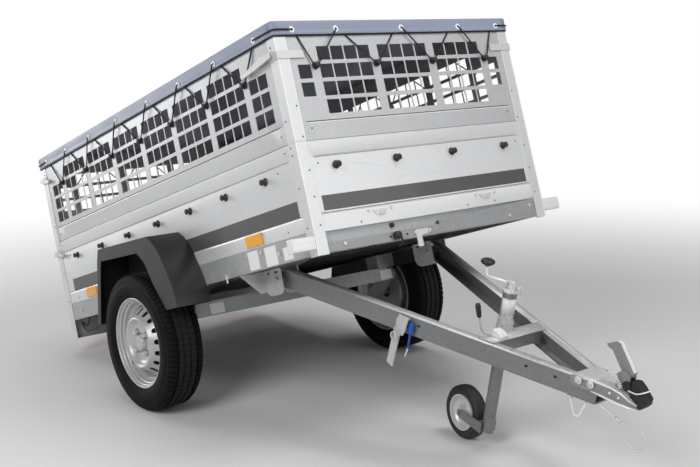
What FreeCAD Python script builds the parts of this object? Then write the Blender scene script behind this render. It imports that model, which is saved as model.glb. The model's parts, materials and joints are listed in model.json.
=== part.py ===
import FreeCAD, Part
import math
import os

# Single-axle utility trailer with a tipping box, mesh side extensions, a flat tarp,
# a V drawbar with a jockey wheel, and a pressed ball coupling.
# Everything is drawn level, box lowered on the drawbar: X across, Y to the rear,
# Z up, the front face of the box at Y 0 and the underside of its side rails at Z 0.
# The finished solids are then tipped about the pivot pins and set on the ground.

# Box and chassis
BODY_WIDTH = 1100.0
BODY_LENGTH = 2048.0
POST_HEIGHT = 375.0
POST_FLANGE = 46.0
SHEET = 2.5
WALL = 20.0
RAIL_HEIGHT = 78.0
RAIL_FLANGE = 32.0
CROSS_LIFT = 10.0
CROSS_WIDTH = 42.0
FLOOR_THICK = 9.0
SEAT = 0.3
RUN_GAP = 6.0
BEAD_DEPTH = 3.0
LOWER_BEAD = 53.0
UPPER_BEAD = 56.0
BEAD_END = 16.0

# Front beam, stepped on the left half and sloped on the right half
PANEL_DROP = 8.0
STEP_BACK = 14.0
LIP_HEIGHT = 32.0
SLOPE_LOW = 46.0

# Mesh extension
UPPER_TOP = 780.0
UPPER_DEPTH = 18.0
FOLD_LIFT = 62.0
WINDOW_LIFT = 86.0
WINDOW_WIDE = 53.0
WINDOW_HIGH = 48.0
WINDOW_BAR = 6.0
ROW_PITCH = 61.7
ROWS = 4
HOOK_PITCH = 268.0
GROUP_COLUMNS = 4

# Hooks on the walls
TARP_HOOK_Z = 627.0
RUBBER_HOOK_Z = 286.0
HOOK_BASE = 14.0
HOOK_HEAD = 10.0
HOOK_REACH = 20.0

# Tarp
TARP_THICK = 3.0
TARP_SKIRT = 50.0

# Tailboard hinge
HINGE_BACK = 12.0
HINGE_PIN = 4.0
HINGE_EYE = 7.0
HINGE_X = 400.0

# Wheels and axle
RIM_RADIUS = 178.0
TYRE_WALL = 95.5
TYRE_WIDTH = 157.0
RIM_WIDTH = 130.0
AXLE_Y = 1094.0
AXLE_Z = -163.0
WHEEL_OUT = 84.0
BEAM_SIZE = 58.0
BEAM_LEAD = 120.0
BEAM_RISE = 75.0
HUB_RADIUS = 52.0
BOLT_CIRCLE = 50.0
VENT_COUNT = 16

# Fenders, with outlines as multiples of the tyre radius from the axle
FENDER_WIDTH = 142.0
FENDER_THICK = 4.0

# Tipping pivot
PIVOT_Y = 470.0
PIVOT_Z = -42.0
PIVOT_PIN = 7.0
TIP_ANGLE = 28.75
LUG_THICK = 4.0
LUG_GAP = 16.0

# Drawbar
ARM_HEIGHT = 66.0
ARM_FLANGE = 38.0
ARM_WALL = 3.0
ARM_TOP = -3.0
ARM_REAR_X = 394.0
ARM_FRONT_X = 38.0
ARM_FRONT_Y = -715.0
BRACE_REAR = -296.0
BRACE_FRONT = -352.0

# Coupling, its heights taken from the top of the arms
BALL_RADIUS = 25.0
BALL_Y = -795.0
BALL_Z = ARM_TOP - 21.0
HEAD_LIFT = ARM_TOP - 3.0
SHELL = 3.0
NOSE_Y = -856.0

# Jockey wheel
JOCKEY_Y = -277.0
JOCKEY_TUBE = 24.0
JOCKEY_BORE = 22.0
CLAMP_WALL = 5.0
JOCKEY_INNER = 21.5
JOCKEY_TOP = 133.0
JOCKEY_OUTER_BOTTOM = -105.0
JOCKEY_BOTTOM = -399.0
JOCKEY_TRAIL = 126.0
JOCKEY_SWIVEL = -8.0
JOCKEY_WHEEL_Z = -387.0
JOCKEY_RADIUS = 98.0
JOCKEY_WIDTH = 50.0

# Sizes that follow from the ones above
HALF = BODY_WIDTH / 2
PANEL_X = HALF - SHEET
INNER_X = PANEL_X - WALL
TYRE_RADIUS = RIM_RADIUS + TYRE_WALL
WHEEL_X = HALF + WHEEL_OUT
BEAM_Y = AXLE_Y - BEAM_LEAD
BEAM_Z = AXLE_Z + BEAM_RISE
HINGE_Y = BODY_LENGTH + HINGE_BACK
HINGE_Z = RAIL_HEIGHT + RUN_GAP
WINDOW_PITCH = WINDOW_WIDE + WINDOW_BAR
GROUP_WIDTH = GROUP_COLUMNS * WINDOW_PITCH - WINDOW_BAR


def box(x0, x1, y0, y1, z0, z1):
    """Block between the given faces."""
    return Part.makeBox(x1 - x0, y1 - y0, z1 - z0, FreeCAD.Vector(x0, y0, z0))


def rod(start, end, radius):
    """Round bar between two points."""
    a = FreeCAD.Vector(*start)
    b = FreeCAD.Vector(*end)
    return Part.makeCylinder(radius, (b - a).Length, a, b - a)


def tube(start, end, outer, inner):
    """Round tube between two points."""
    return rod(start, end, outer).cut(rod(start, end, inner))


def prism(points, direction):
    """Flat outline pushed along a direction."""
    vectors = [FreeCAD.Vector(*p) for p in points]
    face = Part.Face(Part.makePolygon(vectors + [vectors[0]]))
    return face.extrude(FreeCAD.Vector(*direction))


def side_plate(points, x0, x1):
    """Plate with its outline in Y and Z, between two X positions."""
    return prism([(x0, y, z) for y, z in points], (x1 - x0, 0, 0))


def front_plate(points, y0, y1):
    """Plate with its outline in X and Z, between two Y positions."""
    return prism([(x, y0, z) for x, z in points], (0, y1 - y0, 0))


def lathe(points, origin, axis):
    """Solid of revolution: points are (distance along the axis, radius)."""
    base = FreeCAD.Vector(*origin)
    along = FreeCAD.Vector(*axis)
    out = FreeCAD.Vector(0, 0, 1) if abs(along.z) < 0.5 else FreeCAD.Vector(0, 1, 0)
    vectors = [base + along * a + out * r for a, r in points]
    face = Part.Face(Part.makePolygon(vectors + [vectors[0]]))
    return face.revolve(base, along, 360)


def wire_path(points, radius):
    """Round wire through the points, bent on tangent arcs at the inner ones."""
    vectors = [FreeCAD.Vector(*p) for p in points]
    edges = []
    radii = []
    last = vectors[0]
    for k in range(1, len(vectors) - 1):
        back = vectors[k - 1] - vectors[k]
        ahead = vectors[k + 1] - vectors[k]
        shorter = min(back.Length, ahead.Length)
        half_turn = (math.pi - back.getAngle(ahead)) / 2
        bend = 0.45 * shorter / math.tan(half_turn)
        reach = 0.45 * shorter
        start = vectors[k] + back.normalize() * reach
        end = vectors[k] + ahead.normalize() * reach
        inward = (back + ahead).normalize()
        middle = vectors[k] + inward * (bend / math.cos(half_turn) - bend)
        edges.append(Part.LineSegment(last, start).toShape())
        edges.append(Part.Arc(start, middle, end).toShape())
        radii.append(round(bend, 1))
        last = end
    edges.append(Part.LineSegment(last, vectors[-1]).toShape())
    path = Part.Wire(edges)
    first = vectors[1] - vectors[0]
    circle = Part.Wire(Part.makeCircle(radius, vectors[0], first))
    swept = path.makePipeShell([circle], True, False)
    return swept, radii


def fuse(shapes):
    """One clean solid out of touching or overlapping ones."""
    result = shapes[0]
    if len(shapes) > 1:
        result = shapes[0].multiFuse(shapes[1:])
    return result.removeSplitter()


def mirrored(shape):
    """The same shape on the other side."""
    return shape.mirror(FreeCAD.Vector(0, 0, 0), FreeCAD.Vector(1, 0, 0))


def end_for_end(shape):
    """The same shape at the other end of the box."""
    return shape.mirror(FreeCAD.Vector(0, BODY_LENGTH / 2, 0), FreeCAD.Vector(0, 1, 0))


def pair(shape):
    """A shape together with its mirror image on the other side."""
    return [shape, mirrored(shape)]


def side_bead(z, up, down, y0, y1):
    """Cutter for a pressed bead along the left wall's outer face."""
    x = -PANEL_X
    return prism([(x - 1, y0, z + up), (x + BEAD_DEPTH, y0, z), (x - 1, y0, z - down)],
                 (0, y1 - y0, 0))


def front_bead(z, up, down, half):
    """Cutter for a pressed bead along the front wall's outer face."""
    y = SHEET
    return prism([(-half, y - 1, z + up), (-half, y + BEAD_DEPTH, z), (-half, y - 1, z - down)],
                 (2 * half, 0, 0))


def channel_across(y0, y1, z0, z1, half, back):
    """Cross-member across the box, its open side to the rear or to the front."""
    outer = box(-half, half, y0, y1, z0, z1)
    if back:
        hollow = box(-half - 1, half + 1, y0 + SHEET, y1 + 1, z0 + SHEET, z1 - SHEET)
    else:
        hollow = box(-half - 1, half + 1, y0 - 1, y1 - SHEET, z0 + SHEET, z1 - SHEET)
    return outer.cut(hollow)


def hinge_ears():
    """Ears on the rear rail with the pins that the tailboard turns on."""
    shapes = []
    rail_face = BODY_LENGTH - SHEET
    for x in (HINGE_X - 18, HINGE_X + 18):
        eye = rod((x - 2.5, HINGE_Y, HINGE_Z), (x + 2.5, HINGE_Y, HINGE_Z), HINGE_EYE)
        web = side_plate([(rail_face - SHEET / 2, RAIL_HEIGHT - 28), (rail_face - SHEET / 2, RAIL_HEIGHT - 4),
                          (HINGE_Y - HINGE_EYE, HINGE_Z), (HINGE_Y + HINGE_EYE, HINGE_Z),
                          (HINGE_Y + 2, RAIL_HEIGHT - 20)], x - 2.5, x + 2.5)
        shapes += pair(eye.fuse(web))
    pin = rod((HINGE_X - 24, HINGE_Y, HINGE_Z), (HINGE_X + 24, HINGE_Y, HINGE_Z), HINGE_PIN)
    return shapes + pair(pin)


def chassis():
    """Side rails, front and rear rails and cross-members of the box."""
    y0 = SHEET + STEP_BACK
    y1 = BODY_LENGTH - SHEET
    rail = box(-PANEL_X, -PANEL_X + RAIL_FLANGE, y0, y1, 0, RAIL_HEIGHT)
    hollow = box(-PANEL_X + SHEET, -PANEL_X + RAIL_FLANGE + 1, y0 - 1, y1 + 1,
                 SHEET, RAIL_HEIGHT - SHEET)
    parts = pair(rail.cut(hollow))
    parts.append(channel_across(y0, y0 + CROSS_WIDTH, 0, RAIL_HEIGHT, PANEL_X - SHEET / 2, True))
    parts.append(channel_across(y1 - CROSS_WIDTH, y1, 0, RAIL_HEIGHT, PANEL_X - SHEET / 2, False))
    inside = PANEL_X - RAIL_FLANGE + SHEET * 2
    rest = BODY_LENGTH - (BEAM_Y + BODY_LENGTH) / 2
    for y in (PIVOT_Y + 22, BEAM_Y, BODY_LENGTH - rest):
        parts.append(channel_across(y - CROSS_WIDTH / 2, y + CROSS_WIDTH / 2, CROSS_LIFT, RAIL_HEIGHT,
                                    inside, True))
    return fuse(parts + hinge_ears())


def front_beam():
    """Sheet in front of the front rail: a step on the left, a sloped edge on the right."""
    half = HALF - POST_FLANGE - SEAT
    y0 = SHEET
    y1 = SHEET + STEP_BACK - SEAT
    top = RAIL_HEIGHT - PANEL_DROP - SEAT
    left = box(-half, -SEAT, y0, y1, 0, LIP_HEIGHT)
    left = left.cut(box(-half - 1, 1, y0 + SHEET, y1 + 1, SHEET, LIP_HEIGHT - SHEET))
    edge = [(SEAT, 0), (half, 0), (half, top), (half - 18, top), (SEAT, SLOPE_LOW)]
    right = front_plate(edge, y0, y0 + SHEET)
    shelf = front_plate([(SEAT, SLOPE_LOW - SHEET), (half - 18, top - SHEET), (half - 18, top),
                         (SEAT, SLOPE_LOW)], y0, y1)
    foot = box(SEAT, half, y0, y1, 0, SHEET)
    return Part.makeCompound([left.removeSplitter(), fuse([right, shelf, foot])])


def posts():
    """Four corner posts, lower and upper, as bent angles; the rear ones reach lower."""
    shapes = []
    for z0, z1 in ((0, POST_HEIGHT), (POST_HEIGHT + SEAT, UPPER_TOP)):
        drop = 90.0 if z0 == 0 else 0.0
        side = box(-HALF, -PANEL_X, 0, POST_FLANGE, z0 - drop / 15, z1)
        front = box(-HALF, -HALF + POST_FLANGE, 0, SHEET, z0 - drop / 15, z1)
        shapes += pair(side.fuse(front).removeSplitter())
        side = box(-HALF, -PANEL_X, BODY_LENGTH - POST_FLANGE, BODY_LENGTH, z0 - drop, z1)
        back = box(-HALF, -INNER_X, BODY_LENGTH - SHEET, BODY_LENGTH, z0 - drop, z1)
        shapes += pair(side.fuse(back).removeSplitter())
    return Part.makeCompound(shapes)


def side_panel():
    """Lower side wall on the left, as thick as the folded sheet, with its two beads."""
    y0 = SHEET
    y1 = BODY_LENGTH - SHEET
    wall = box(-PANEL_X, -INNER_X, y0, y1, RAIL_HEIGHT + SEAT, POST_HEIGHT)
    rounded = [e for e in wall.Edges if abs(e.BoundBox.ZMin - POST_HEIGHT) < 0.1 and e.Length > BODY_WIDTH]
    wall = wall.makeFillet(3, rounded)
    a = POST_FLANGE + BEAD_END
    b = BODY_LENGTH - POST_FLANGE - BEAD_END
    wall = wall.cut(side_bead(RAIL_HEIGHT + LOWER_BEAD, 1, 6, a - BEAD_END, b + BEAD_END))
    return wall.cut(side_bead(POST_HEIGHT - UPPER_BEAD, 4, 2, a, b))


def front_panel():
    """Lower front wall between the side walls, hanging a little over the front rail."""
    half = INNER_X - SEAT
    wall = box(-half, half, SHEET, SHEET + WALL, RAIL_HEIGHT + SEAT, POST_HEIGHT)
    apron_half = HALF - POST_FLANGE - SEAT
    apron = box(-apron_half, apron_half, SHEET, SHEET + STEP_BACK - SEAT, RAIL_HEIGHT - PANEL_DROP,
                RAIL_HEIGHT + 1)
    wall = wall.fuse(apron).removeSplitter()
    bead = apron_half - BEAD_END
    wall = wall.cut(front_bead(RAIL_HEIGHT + LOWER_BEAD, 1, 6, apron_half - 2))
    return wall.cut(front_bead(POST_HEIGHT - UPPER_BEAD, 4, 2, bead))


def floor():
    """Plywood floor on the rails."""
    y1 = BODY_LENGTH - WALL - RUN_GAP
    x = INNER_X - SEAT
    return box(-x, x, SHEET + WALL + SEAT, y1, RAIL_HEIGHT + SEAT, RAIL_HEIGHT + FLOOR_THICK)


def tailboard():
    """Drop-down lower rear wall with its beads and hinge eyes."""
    x = INNER_X - RUN_GAP
    y = BODY_LENGTH
    board = box(-x, x, y - WALL, y, HINGE_Z, POST_HEIGHT - RUN_GAP)
    for z, up, down in ((RAIL_HEIGHT + LOWER_BEAD, 1, 6), (POST_HEIGHT - UPPER_BEAD, 4, 2)):
        bead = prism([(-x + BEAD_END, y + 1, z + up), (-x + BEAD_END, y - BEAD_DEPTH, z),
                      (-x + BEAD_END, y + 1, z - down)], (2 * (x - BEAD_END), 0, 0))
        board = board.cut(bead)
    eye = rod((HINGE_X - 15, HINGE_Y, HINGE_Z), (HINGE_X + 15, HINGE_Y, HINGE_Z), HINGE_EYE)
    lug = box(HINGE_X - 15, HINGE_X + 15, y - 1, HINGE_Y, HINGE_Z, HINGE_Z + HINGE_EYE)
    hole = rod((HINGE_X - 20, HINGE_Y, HINGE_Z), (HINGE_X + 20, HINGE_Y, HINGE_Z), HINGE_PIN + 0.1)
    return fuse([board] + pair(eye.fuse(lug).cut(hole)))


def window_rows():
    """Bottom heights of the rows of windows, lowest first."""
    return [POST_HEIGHT + WINDOW_LIFT + k * ROW_PITCH for k in range(ROWS)]


def hook_places(length):
    """Places of the hook buttons along a wall, measured from its middle, clear of its posts."""
    room = length - 2 * POST_FLANGE - 2 * HOOK_PITCH / 3
    count = int(room / HOOK_PITCH) + 1
    return [(k - (count - 1) / 2) * HOOK_PITCH for k in range(count)]


def window_columns(length, spare):
    """Columns of windows along a wall: (start, rows) for a group between each two hooks, and the odd ends."""
    columns = []
    middle = length / 2
    groups = len(hook_places(length)) - 1
    for g in range(groups):
        start = middle + (g - (groups - 1) / 2) * HOOK_PITCH - GROUP_WIDTH / 2
        columns += [(start + c * WINDOW_PITCH, range(ROWS)) for c in range(GROUP_COLUMNS)]
    last = middle + (groups - 1) / 2 * HOOK_PITCH + GROUP_WIDTH / 2
    gap = HOOK_PITCH - GROUP_WIDTH
    for c in range(spare):
        rows = range(3) if spare > 1 else range(1, 3)
        start = last + gap + c * WINDOW_PITCH
        columns.append((start, rows))
        columns.append((length - start - WINDOW_WIDE, rows))
    return columns


def mesh_side():
    """Upper left wall: a sheet with folded edges, a fold line and rows of windows."""
    z0 = POST_HEIGHT + SEAT
    x = -PANEL_X
    plate = box(x, x + UPPER_DEPTH, SHEET, BODY_LENGTH - SHEET, z0, UPPER_TOP)
    plate = plate.cut(box(x + SHEET, x + UPPER_DEPTH + 1, SHEET * 2, BODY_LENGTH - SHEET * 2,
                          z0 + SHEET, UPPER_TOP - SHEET))
    a = POST_FLANGE + BEAD_END
    fold_z = POST_HEIGHT + FOLD_LIFT
    fold = prism([(x - 1, a, fold_z + 3), (x + 1.5, a, fold_z), (x - 1, a, fold_z - 3)],
                 (0, BODY_LENGTH - 2 * a, 0))
    cutters = [fold]
    rows = window_rows()
    for start, used in window_columns(BODY_LENGTH, 2):
        for k in used:
            cutters.append(box(x - 1, x + SHEET + 1, start, start + WINDOW_WIDE, rows[k], rows[k] + WINDOW_HIGH))
    return plate.cut(Part.makeCompound(cutters))


def mesh_end():
    """Upper front wall between the upper side walls, with its windows."""
    z0 = POST_HEIGHT + SEAT
    half = PANEL_X - UPPER_DEPTH - SEAT
    y = SHEET
    plate = box(-half, half, y, y + UPPER_DEPTH, z0, UPPER_TOP)
    plate = plate.cut(box(-half + SHEET, half - SHEET, y + SHEET, y + UPPER_DEPTH + 1,
                          z0 + SHEET, UPPER_TOP - SHEET))
    fold_half = HALF - POST_FLANGE - BEAD_END
    fold_z = POST_HEIGHT + FOLD_LIFT
    fold = prism([(-fold_half, y - 1, fold_z + 3), (-fold_half, y + 1.5, fold_z), (-fold_half, y - 1, fold_z - 3)],
                 (2 * fold_half, 0, 0))
    cutters = [fold]
    rows = window_rows()
    for start, used in window_columns(BODY_WIDTH, 1):
        for k in used:
            x = start - HALF
            cutters.append(box(x, x + WINDOW_WIDE, y - 1, y + SHEET + 1, rows[k], rows[k] + WINDOW_HIGH))
    return plate.cut(Part.makeCompound(cutters))


def button(x, y, z, nx, ny):
    """Eight-sided hook button on a wall whose outward direction is (nx, ny)."""

    def disc(radius, start, end):
        points = []
        for k in range(8):
            a = math.radians(22.5 + 45 * k)
            s = radius * math.cos(a)
            points.append((x + nx * start - ny * s, y + ny * start + nx * s, z + radius * math.sin(a)))
        return prism(points, (nx * (end - start), ny * (end - start), 0))

    foot = disc(HOOK_BASE, SEAT, HOOK_REACH / 4)
    neck = disc(HOOK_BASE / 2, HOOK_REACH / 4, HOOK_REACH * 0.6)
    head = disc(HOOK_HEAD, HOOK_REACH * 0.6, HOOK_REACH)
    return foot.fuse([neck, head]).removeSplitter()


def wall_hooks(z):
    """Ring of hook buttons round the box at one height."""
    shapes = []
    for place in hook_places(BODY_LENGTH):
        shapes += pair(button(-PANEL_X, BODY_LENGTH / 2 + place, z, -1, 0))
    for place in hook_places(BODY_WIDTH):
        shapes.append(button(place, SHEET, z, 0, -1))
    return shapes


def tarp_hooks():
    """Hook buttons for the tarp's elastic on the upper walls."""
    shapes = wall_hooks(TARP_HOOK_Z)
    for place in hook_places(BODY_WIDTH):
        shapes.append(button(place, BODY_LENGTH - SHEET, TARP_HOOK_Z, 0, 1))
    return Part.makeCompound(shapes)


def tarp():
    """Flat tarp with a skirt that hangs over the upper walls, its corners rounded."""
    out = HALF + SEAT + TARP_THICK
    y0 = -SEAT - TARP_THICK
    y1 = BODY_LENGTH + SEAT + TARP_THICK
    low = UPPER_TOP + SEAT + TARP_THICK - TARP_SKIRT
    skin = box(-out, out, y0, y1, low, UPPER_TOP + SEAT + TARP_THICK)
    corners = [e for e in skin.Edges if e.BoundBox.ZLength > TARP_SKIRT / 2]
    skin = skin.makeFillet(TARP_THICK + SEAT, corners)
    return skin.cut(box(-out + TARP_THICK, out - TARP_THICK, y0 + TARP_THICK, y1 - TARP_THICK,
                        low - 1, UPPER_TOP + SEAT))


def latch(y, z, length, drop):
    """Over-centre latch on the left wall: base, bent strap round the corner and lever."""
    x = -HALF - SEAT
    base = box(x - 3, x, y - 2, y + length * 0.45, z - 14, z + 14)
    lever = side_plate([(y - 4, z + 12), (y + length * 0.5, z + 6 - drop * 0.4), (y + length, z - drop - 2),
                        (y + length - 6, z - drop - 14), (y + length * 0.4, z - 12 - drop * 0.4),
                        (y - 4, z - 8)], x - 14, x - 9)
    post = rod((x - 14, y + 8, z), (x - 1, y + 8, z), 7)
    hinge = rod((x - 12, y + length * 0.35, z - 1), (x - 1, y + length * 0.35, z - 1), 5)
    return fuse([base, lever, post, hinge])


def front_strap(z):
    """Strap of the upper latch, bent round the left front corner."""
    x = -HALF - SEAT
    side = box(x - 3, x, -SEAT - 3, 26, z - 13, z + 13)
    front = box(x - 3, x + 107, -SEAT - 3, -SEAT, z - 13, z + 13)
    return fuse([side, front])


def latches():
    """Four upper latches and the two that hold the tailboard."""
    upper = UPPER_TOP - 112
    front = latch(28, upper + 6, 190, 16)
    rear = end_for_end(latch(4, upper + 6, 90, 8))
    low = end_for_end(latch(4, POST_HEIGHT - UPPER_BEAD, 92, 6))
    shapes = pair(front) + pair(front_strap(upper)) + pair(rear) + pair(low)
    return Part.makeCompound(shapes)


def reflectors():
    """Amber side reflectors, front and rear, set on the lower bands of the side walls."""
    z = RAIL_HEIGHT + 7
    height = LOWER_BEAD - 12
    shapes = []
    for y in (305.0, BODY_LENGTH - 350.0):
        plate = box(-PANEL_X - SEAT - 6, -PANEL_X - SEAT, y, y + 105, z, z + height)
        shapes += pair(plate)
    return Part.makeCompound(shapes)


def front_lamps():
    """White position lamps that stand out beside the front corners."""
    x = -HALF - SEAT
    lamp = box(x - 94, x, 2, 34, 16, 62)
    lamp = lamp.makeFillet(5, [e for e in lamp.Edges if abs(e.BoundBox.XMin - (x - 94)) < 0.1])
    return Part.makeCompound(pair(lamp))


def rear_beam():
    """Folded sheet under the rear rail that carries the lamps."""
    half = HALF - SHEET - SEAT
    y1 = BODY_LENGTH - SHEET - SEAT
    face = box(-half, half, y1 - SHEET, y1, -84, -SEAT)
    top = box(-half, half, y1 - 30, y1, -SEAT - SHEET, -SEAT)
    low = box(-half, half, y1 - 16, y1, -84, -84 + SHEET)
    return fuse([face, top, low])


def rear_lamps():
    """Red rear lamps on the rear beam."""
    y = BODY_LENGTH - SHEET
    lamp = box(-HALF + 30, -HALF + 230, y + 0.1, y + 42, -78, -12)
    lamp = lamp.makeFillet(6, [e for e in lamp.Edges if abs(e.BoundBox.YMin - (y + 42)) < 0.1])
    return Part.makeCompound(pair(lamp))


def fender_outline():
    """Arch of the fender as multiples of the tyre radius from the axle."""
    shape = [(-1.294, 0.362), (-1.294, 0.523), (-1.265, 0.669), (-1.192, 0.870), (-1.082, 1.126),
             (-1.002, 1.247), (-0.910, 1.345), (-0.782, 1.426), (0.782, 1.495), (0.899, 1.291),
             (0.998, 1.035), (1.276, 0.391)]
    return [(AXLE_Y + a * TYRE_RADIUS, AXLE_Z + b * TYRE_RADIUS) for a, b in shape]


def lip_outline():
    """Inner edge of the fender's outer lip, wide in front and narrow over the top."""
    shape = [(-0.980, 0.340), (-0.980, 0.369), (-0.859, 0.559), (-0.728, 0.797), (-0.611, 1.079),
             (-0.435, 1.247), (0.753, 1.310), (0.86, 1.10), (1.17, 0.391), (1.17, 0.340)]
    return [(AXLE_Y + a * TYRE_RADIUS, AXLE_Z + b * TYRE_RADIUS) for a, b in shape]


def fender():
    """Arch of the left fender with its outer lip."""
    outline = fender_outline()
    x_out = -HALF - FENDER_WIDTH
    x_in = -PANEL_X - SEAT
    outer = side_plate(outline, x_out, x_in)
    t = FENDER_THICK
    inner = []
    for y, z in outline:
        side = t if y < AXLE_Y else -t
        lower = t if z > AXLE_Z + 1.2 * TYRE_RADIUS else 0
        inner.append((y + side, z - lower))
    inner[0] = (inner[0][0], inner[0][1] - 2)
    inner[-1] = (inner[-1][0] + 1, inner[-1][1] - 2)
    band = outer.cut(side_plate(inner, x_out - 1, x_in + 1))
    lip = side_plate(outline, x_out, x_out + t).cut(side_plate(lip_outline(), x_out - 1, x_out + t + 1))
    return fuse([band, lip])


def axle():
    """Rubber-sprung axle: beam, trailing arms, stubs and saddle plates."""
    half = BEAM_SIZE / 2
    end = HALF - 50
    tip = end + 45
    parts = [box(-end, end, BEAM_Y - half, BEAM_Y + half, BEAM_Z - half, BEAM_Z + half)]
    boss = rod((-end + 5, BEAM_Y, BEAM_Z), (-tip, BEAM_Y, BEAM_Z), half)
    hub = rod((-end - 5, AXLE_Y, AXLE_Z), (-tip, AXLE_Y, AXLE_Z), half)
    slope = math.atan2(AXLE_Z - BEAM_Z, AXLE_Y - BEAM_Y)
    dy = -math.sin(slope) * (half - 3)
    dz = math.cos(slope) * (half - 3)
    link = side_plate([(BEAM_Y + dy, BEAM_Z + dz), (AXLE_Y + dy, AXLE_Z + dz),
                       (AXLE_Y - dy, AXLE_Z - dz), (BEAM_Y - dy, BEAM_Z - dz)], -tip, -end - 5)
    stub = rod((-tip + 5, AXLE_Y, AXLE_Z), (-WHEEL_X + 22, AXLE_Y, AXLE_Z), 16)
    saddle = box(-PANEL_X + SHEET, -HALF + 100, BEAM_Y - half, BEAM_Y + half + 20, BEAM_Z + half - 1, -SEAT)
    cut = box(-PANEL_X, -HALF + 96, BEAM_Y - half + 4, BEAM_Y + half + 21, BEAM_Z + half + 3, -SEAT - 4)
    parts += pair(boss) + pair(hub) + pair(link) + pair(stub) + pair(saddle.cut(cut))
    return fuse(parts)


def tyre(x):
    """Road tyre as a ring with rounded shoulders."""
    w = TYRE_WIDTH / 2
    r = TYRE_RADIUS
    s = RIM_RADIUS
    h = TYRE_WALL
    outline = [(-w * 0.83, s + SEAT), (-w * 0.96, s + h * 0.2), (-w, s + h * 0.48), (-w * 0.97, s + h * 0.72),
               (-w * 0.88, r - h * 0.1), (-w * 0.76, r - h * 0.02), (0, r), (w * 0.76, r - h * 0.02),
               (w * 0.88, r - h * 0.1), (w * 0.97, s + h * 0.72), (w, s + h * 0.48), (w * 0.96, s + h * 0.2),
               (w * 0.83, s + SEAT)]
    return lathe(outline, (x, AXLE_Y, AXLE_Z), (1, 0, 0))


def rim(x, sign):
    """Steel rim with a pressed disc; sign is the outward direction."""
    w = RIM_WIDTH / 2
    s = RIM_RADIUS
    barrel = [(-w, s), (-w, s - 13), (-w + 14, s - 17), (-w + 20, s - 38), (w - 40, s - 38),
              (w - 22, s - 17), (w - 4, s - 13), (w, s - 7), (w, s)]
    face = [(30, s - 36), (32, s - 42), (30, s - 68), (44, s - 78), (40, s - 88), (24, s - 100),
            (16, HUB_RADIUS + 12), (16, 30), (34, 28), (36, 0)]
    back = [(a - 4, r) for a, r in reversed(face)]
    disc = lathe(face + back, (x, AXLE_Y, AXLE_Z), (sign, 0, 0))
    hub = lathe([(-44, 16.1), (-44, HUB_RADIUS), (12.5, HUB_RADIUS), (12.5, 16.1)], (x, AXLE_Y, AXLE_Z), (sign, 0, 0))
    vents = []
    for k in range(VENT_COUNT):
        a = math.radians((k + 0.5) * 360.0 / VENT_COUNT)
        y = AXLE_Y + (s - 55) * math.cos(a)
        z = AXLE_Z + (s - 55) * math.sin(a)
        vents.append(rod((x + sign * 10, y, z), (x + sign * 50, y, z), 8))
    parts = [lathe(barrel, (x, AXLE_Y, AXLE_Z), (sign, 0, 0)), disc.cut(Part.makeCompound(vents)), hub]
    for k in range(4):
        a = math.radians(45 + 90 * k)
        y = AXLE_Y + BOLT_CIRCLE * math.cos(a)
        z = AXLE_Z + BOLT_CIRCLE * math.sin(a)
        parts.append(rod((x + sign * 14, y, z), (x + sign * 30, y, z), 9))
    return fuse(parts)


def pivot_brackets():
    """Lugs under the front cross-member that carry the tipping pins, with their gussets."""
    outer = -ARM_REAR_X - LUG_GAP - LUG_THICK
    inner = -ARM_REAR_X + 58
    y0 = PIVOT_Y - 30
    y1 = PIVOT_Y + 84
    top = CROSS_LIFT - SEAT
    low = PIVOT_Z - 54
    outline = [(y0, top), (y0, low + 20), (y0 + 8, low + 8), (y0 + 22, low), (y1 - 34, low),
               (y1 - 12, low + 8), (y1, low + 26), (y1, top)]
    lug = side_plate(outline, outer, outer + LUG_THICK)
    for y in (PIVOT_Y, PIVOT_Y + 52):
        slot = box(outer - 1, outer + LUG_THICK + 1, y - 11, y + 11, top - 26, top - 18)
        lug = lug.cut(slot)
    other = lug.translated(FreeCAD.Vector(inner - outer, 0, 0))
    plate = box(outer, inner + LUG_THICK, y0, y1, top - 4, top)
    pin = rod((outer - 10, PIVOT_Y, PIVOT_Z), (inner + LUG_THICK + 8, PIVOT_Y, PIVOT_Z), PIVOT_PIN)
    head = rod((outer - 10, PIVOT_Y, PIVOT_Z), (outer, PIVOT_Y, PIVOT_Z), PIVOT_PIN + 4)
    edge = -PANEL_X + RAIL_FLANGE
    gusset = front_plate([(outer, top), (outer, low + 18), (outer - 26, low + 18), (edge, -2), (edge, top)],
                         y1 - 4, y1)
    return Part.makeCompound(pair(fuse([lug, other, plate, pin, head, gusset])))


def arm_line(y):
    """X of the outer face of the left drawbar arm at a given Y."""
    t = (y - ARM_FRONT_Y) / (PIVOT_Y - ARM_FRONT_Y)
    return -(ARM_FRONT_X + t * (ARM_REAR_X - ARM_FRONT_X))


def arm_strip(front, rear, a, b, low, high):
    """Straight strip along the left arm, from a to b inward of its outer face."""
    n = math.hypot(1, (arm_line(rear) - arm_line(front)) / (rear - front))
    return prism([(arm_line(front) + a * n, front, low), (arm_line(rear) + a * n, rear, low),
                  (arm_line(rear) + b * n, rear, low), (arm_line(front) + b * n, front, low)],
                 (0, 0, high - low))


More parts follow.
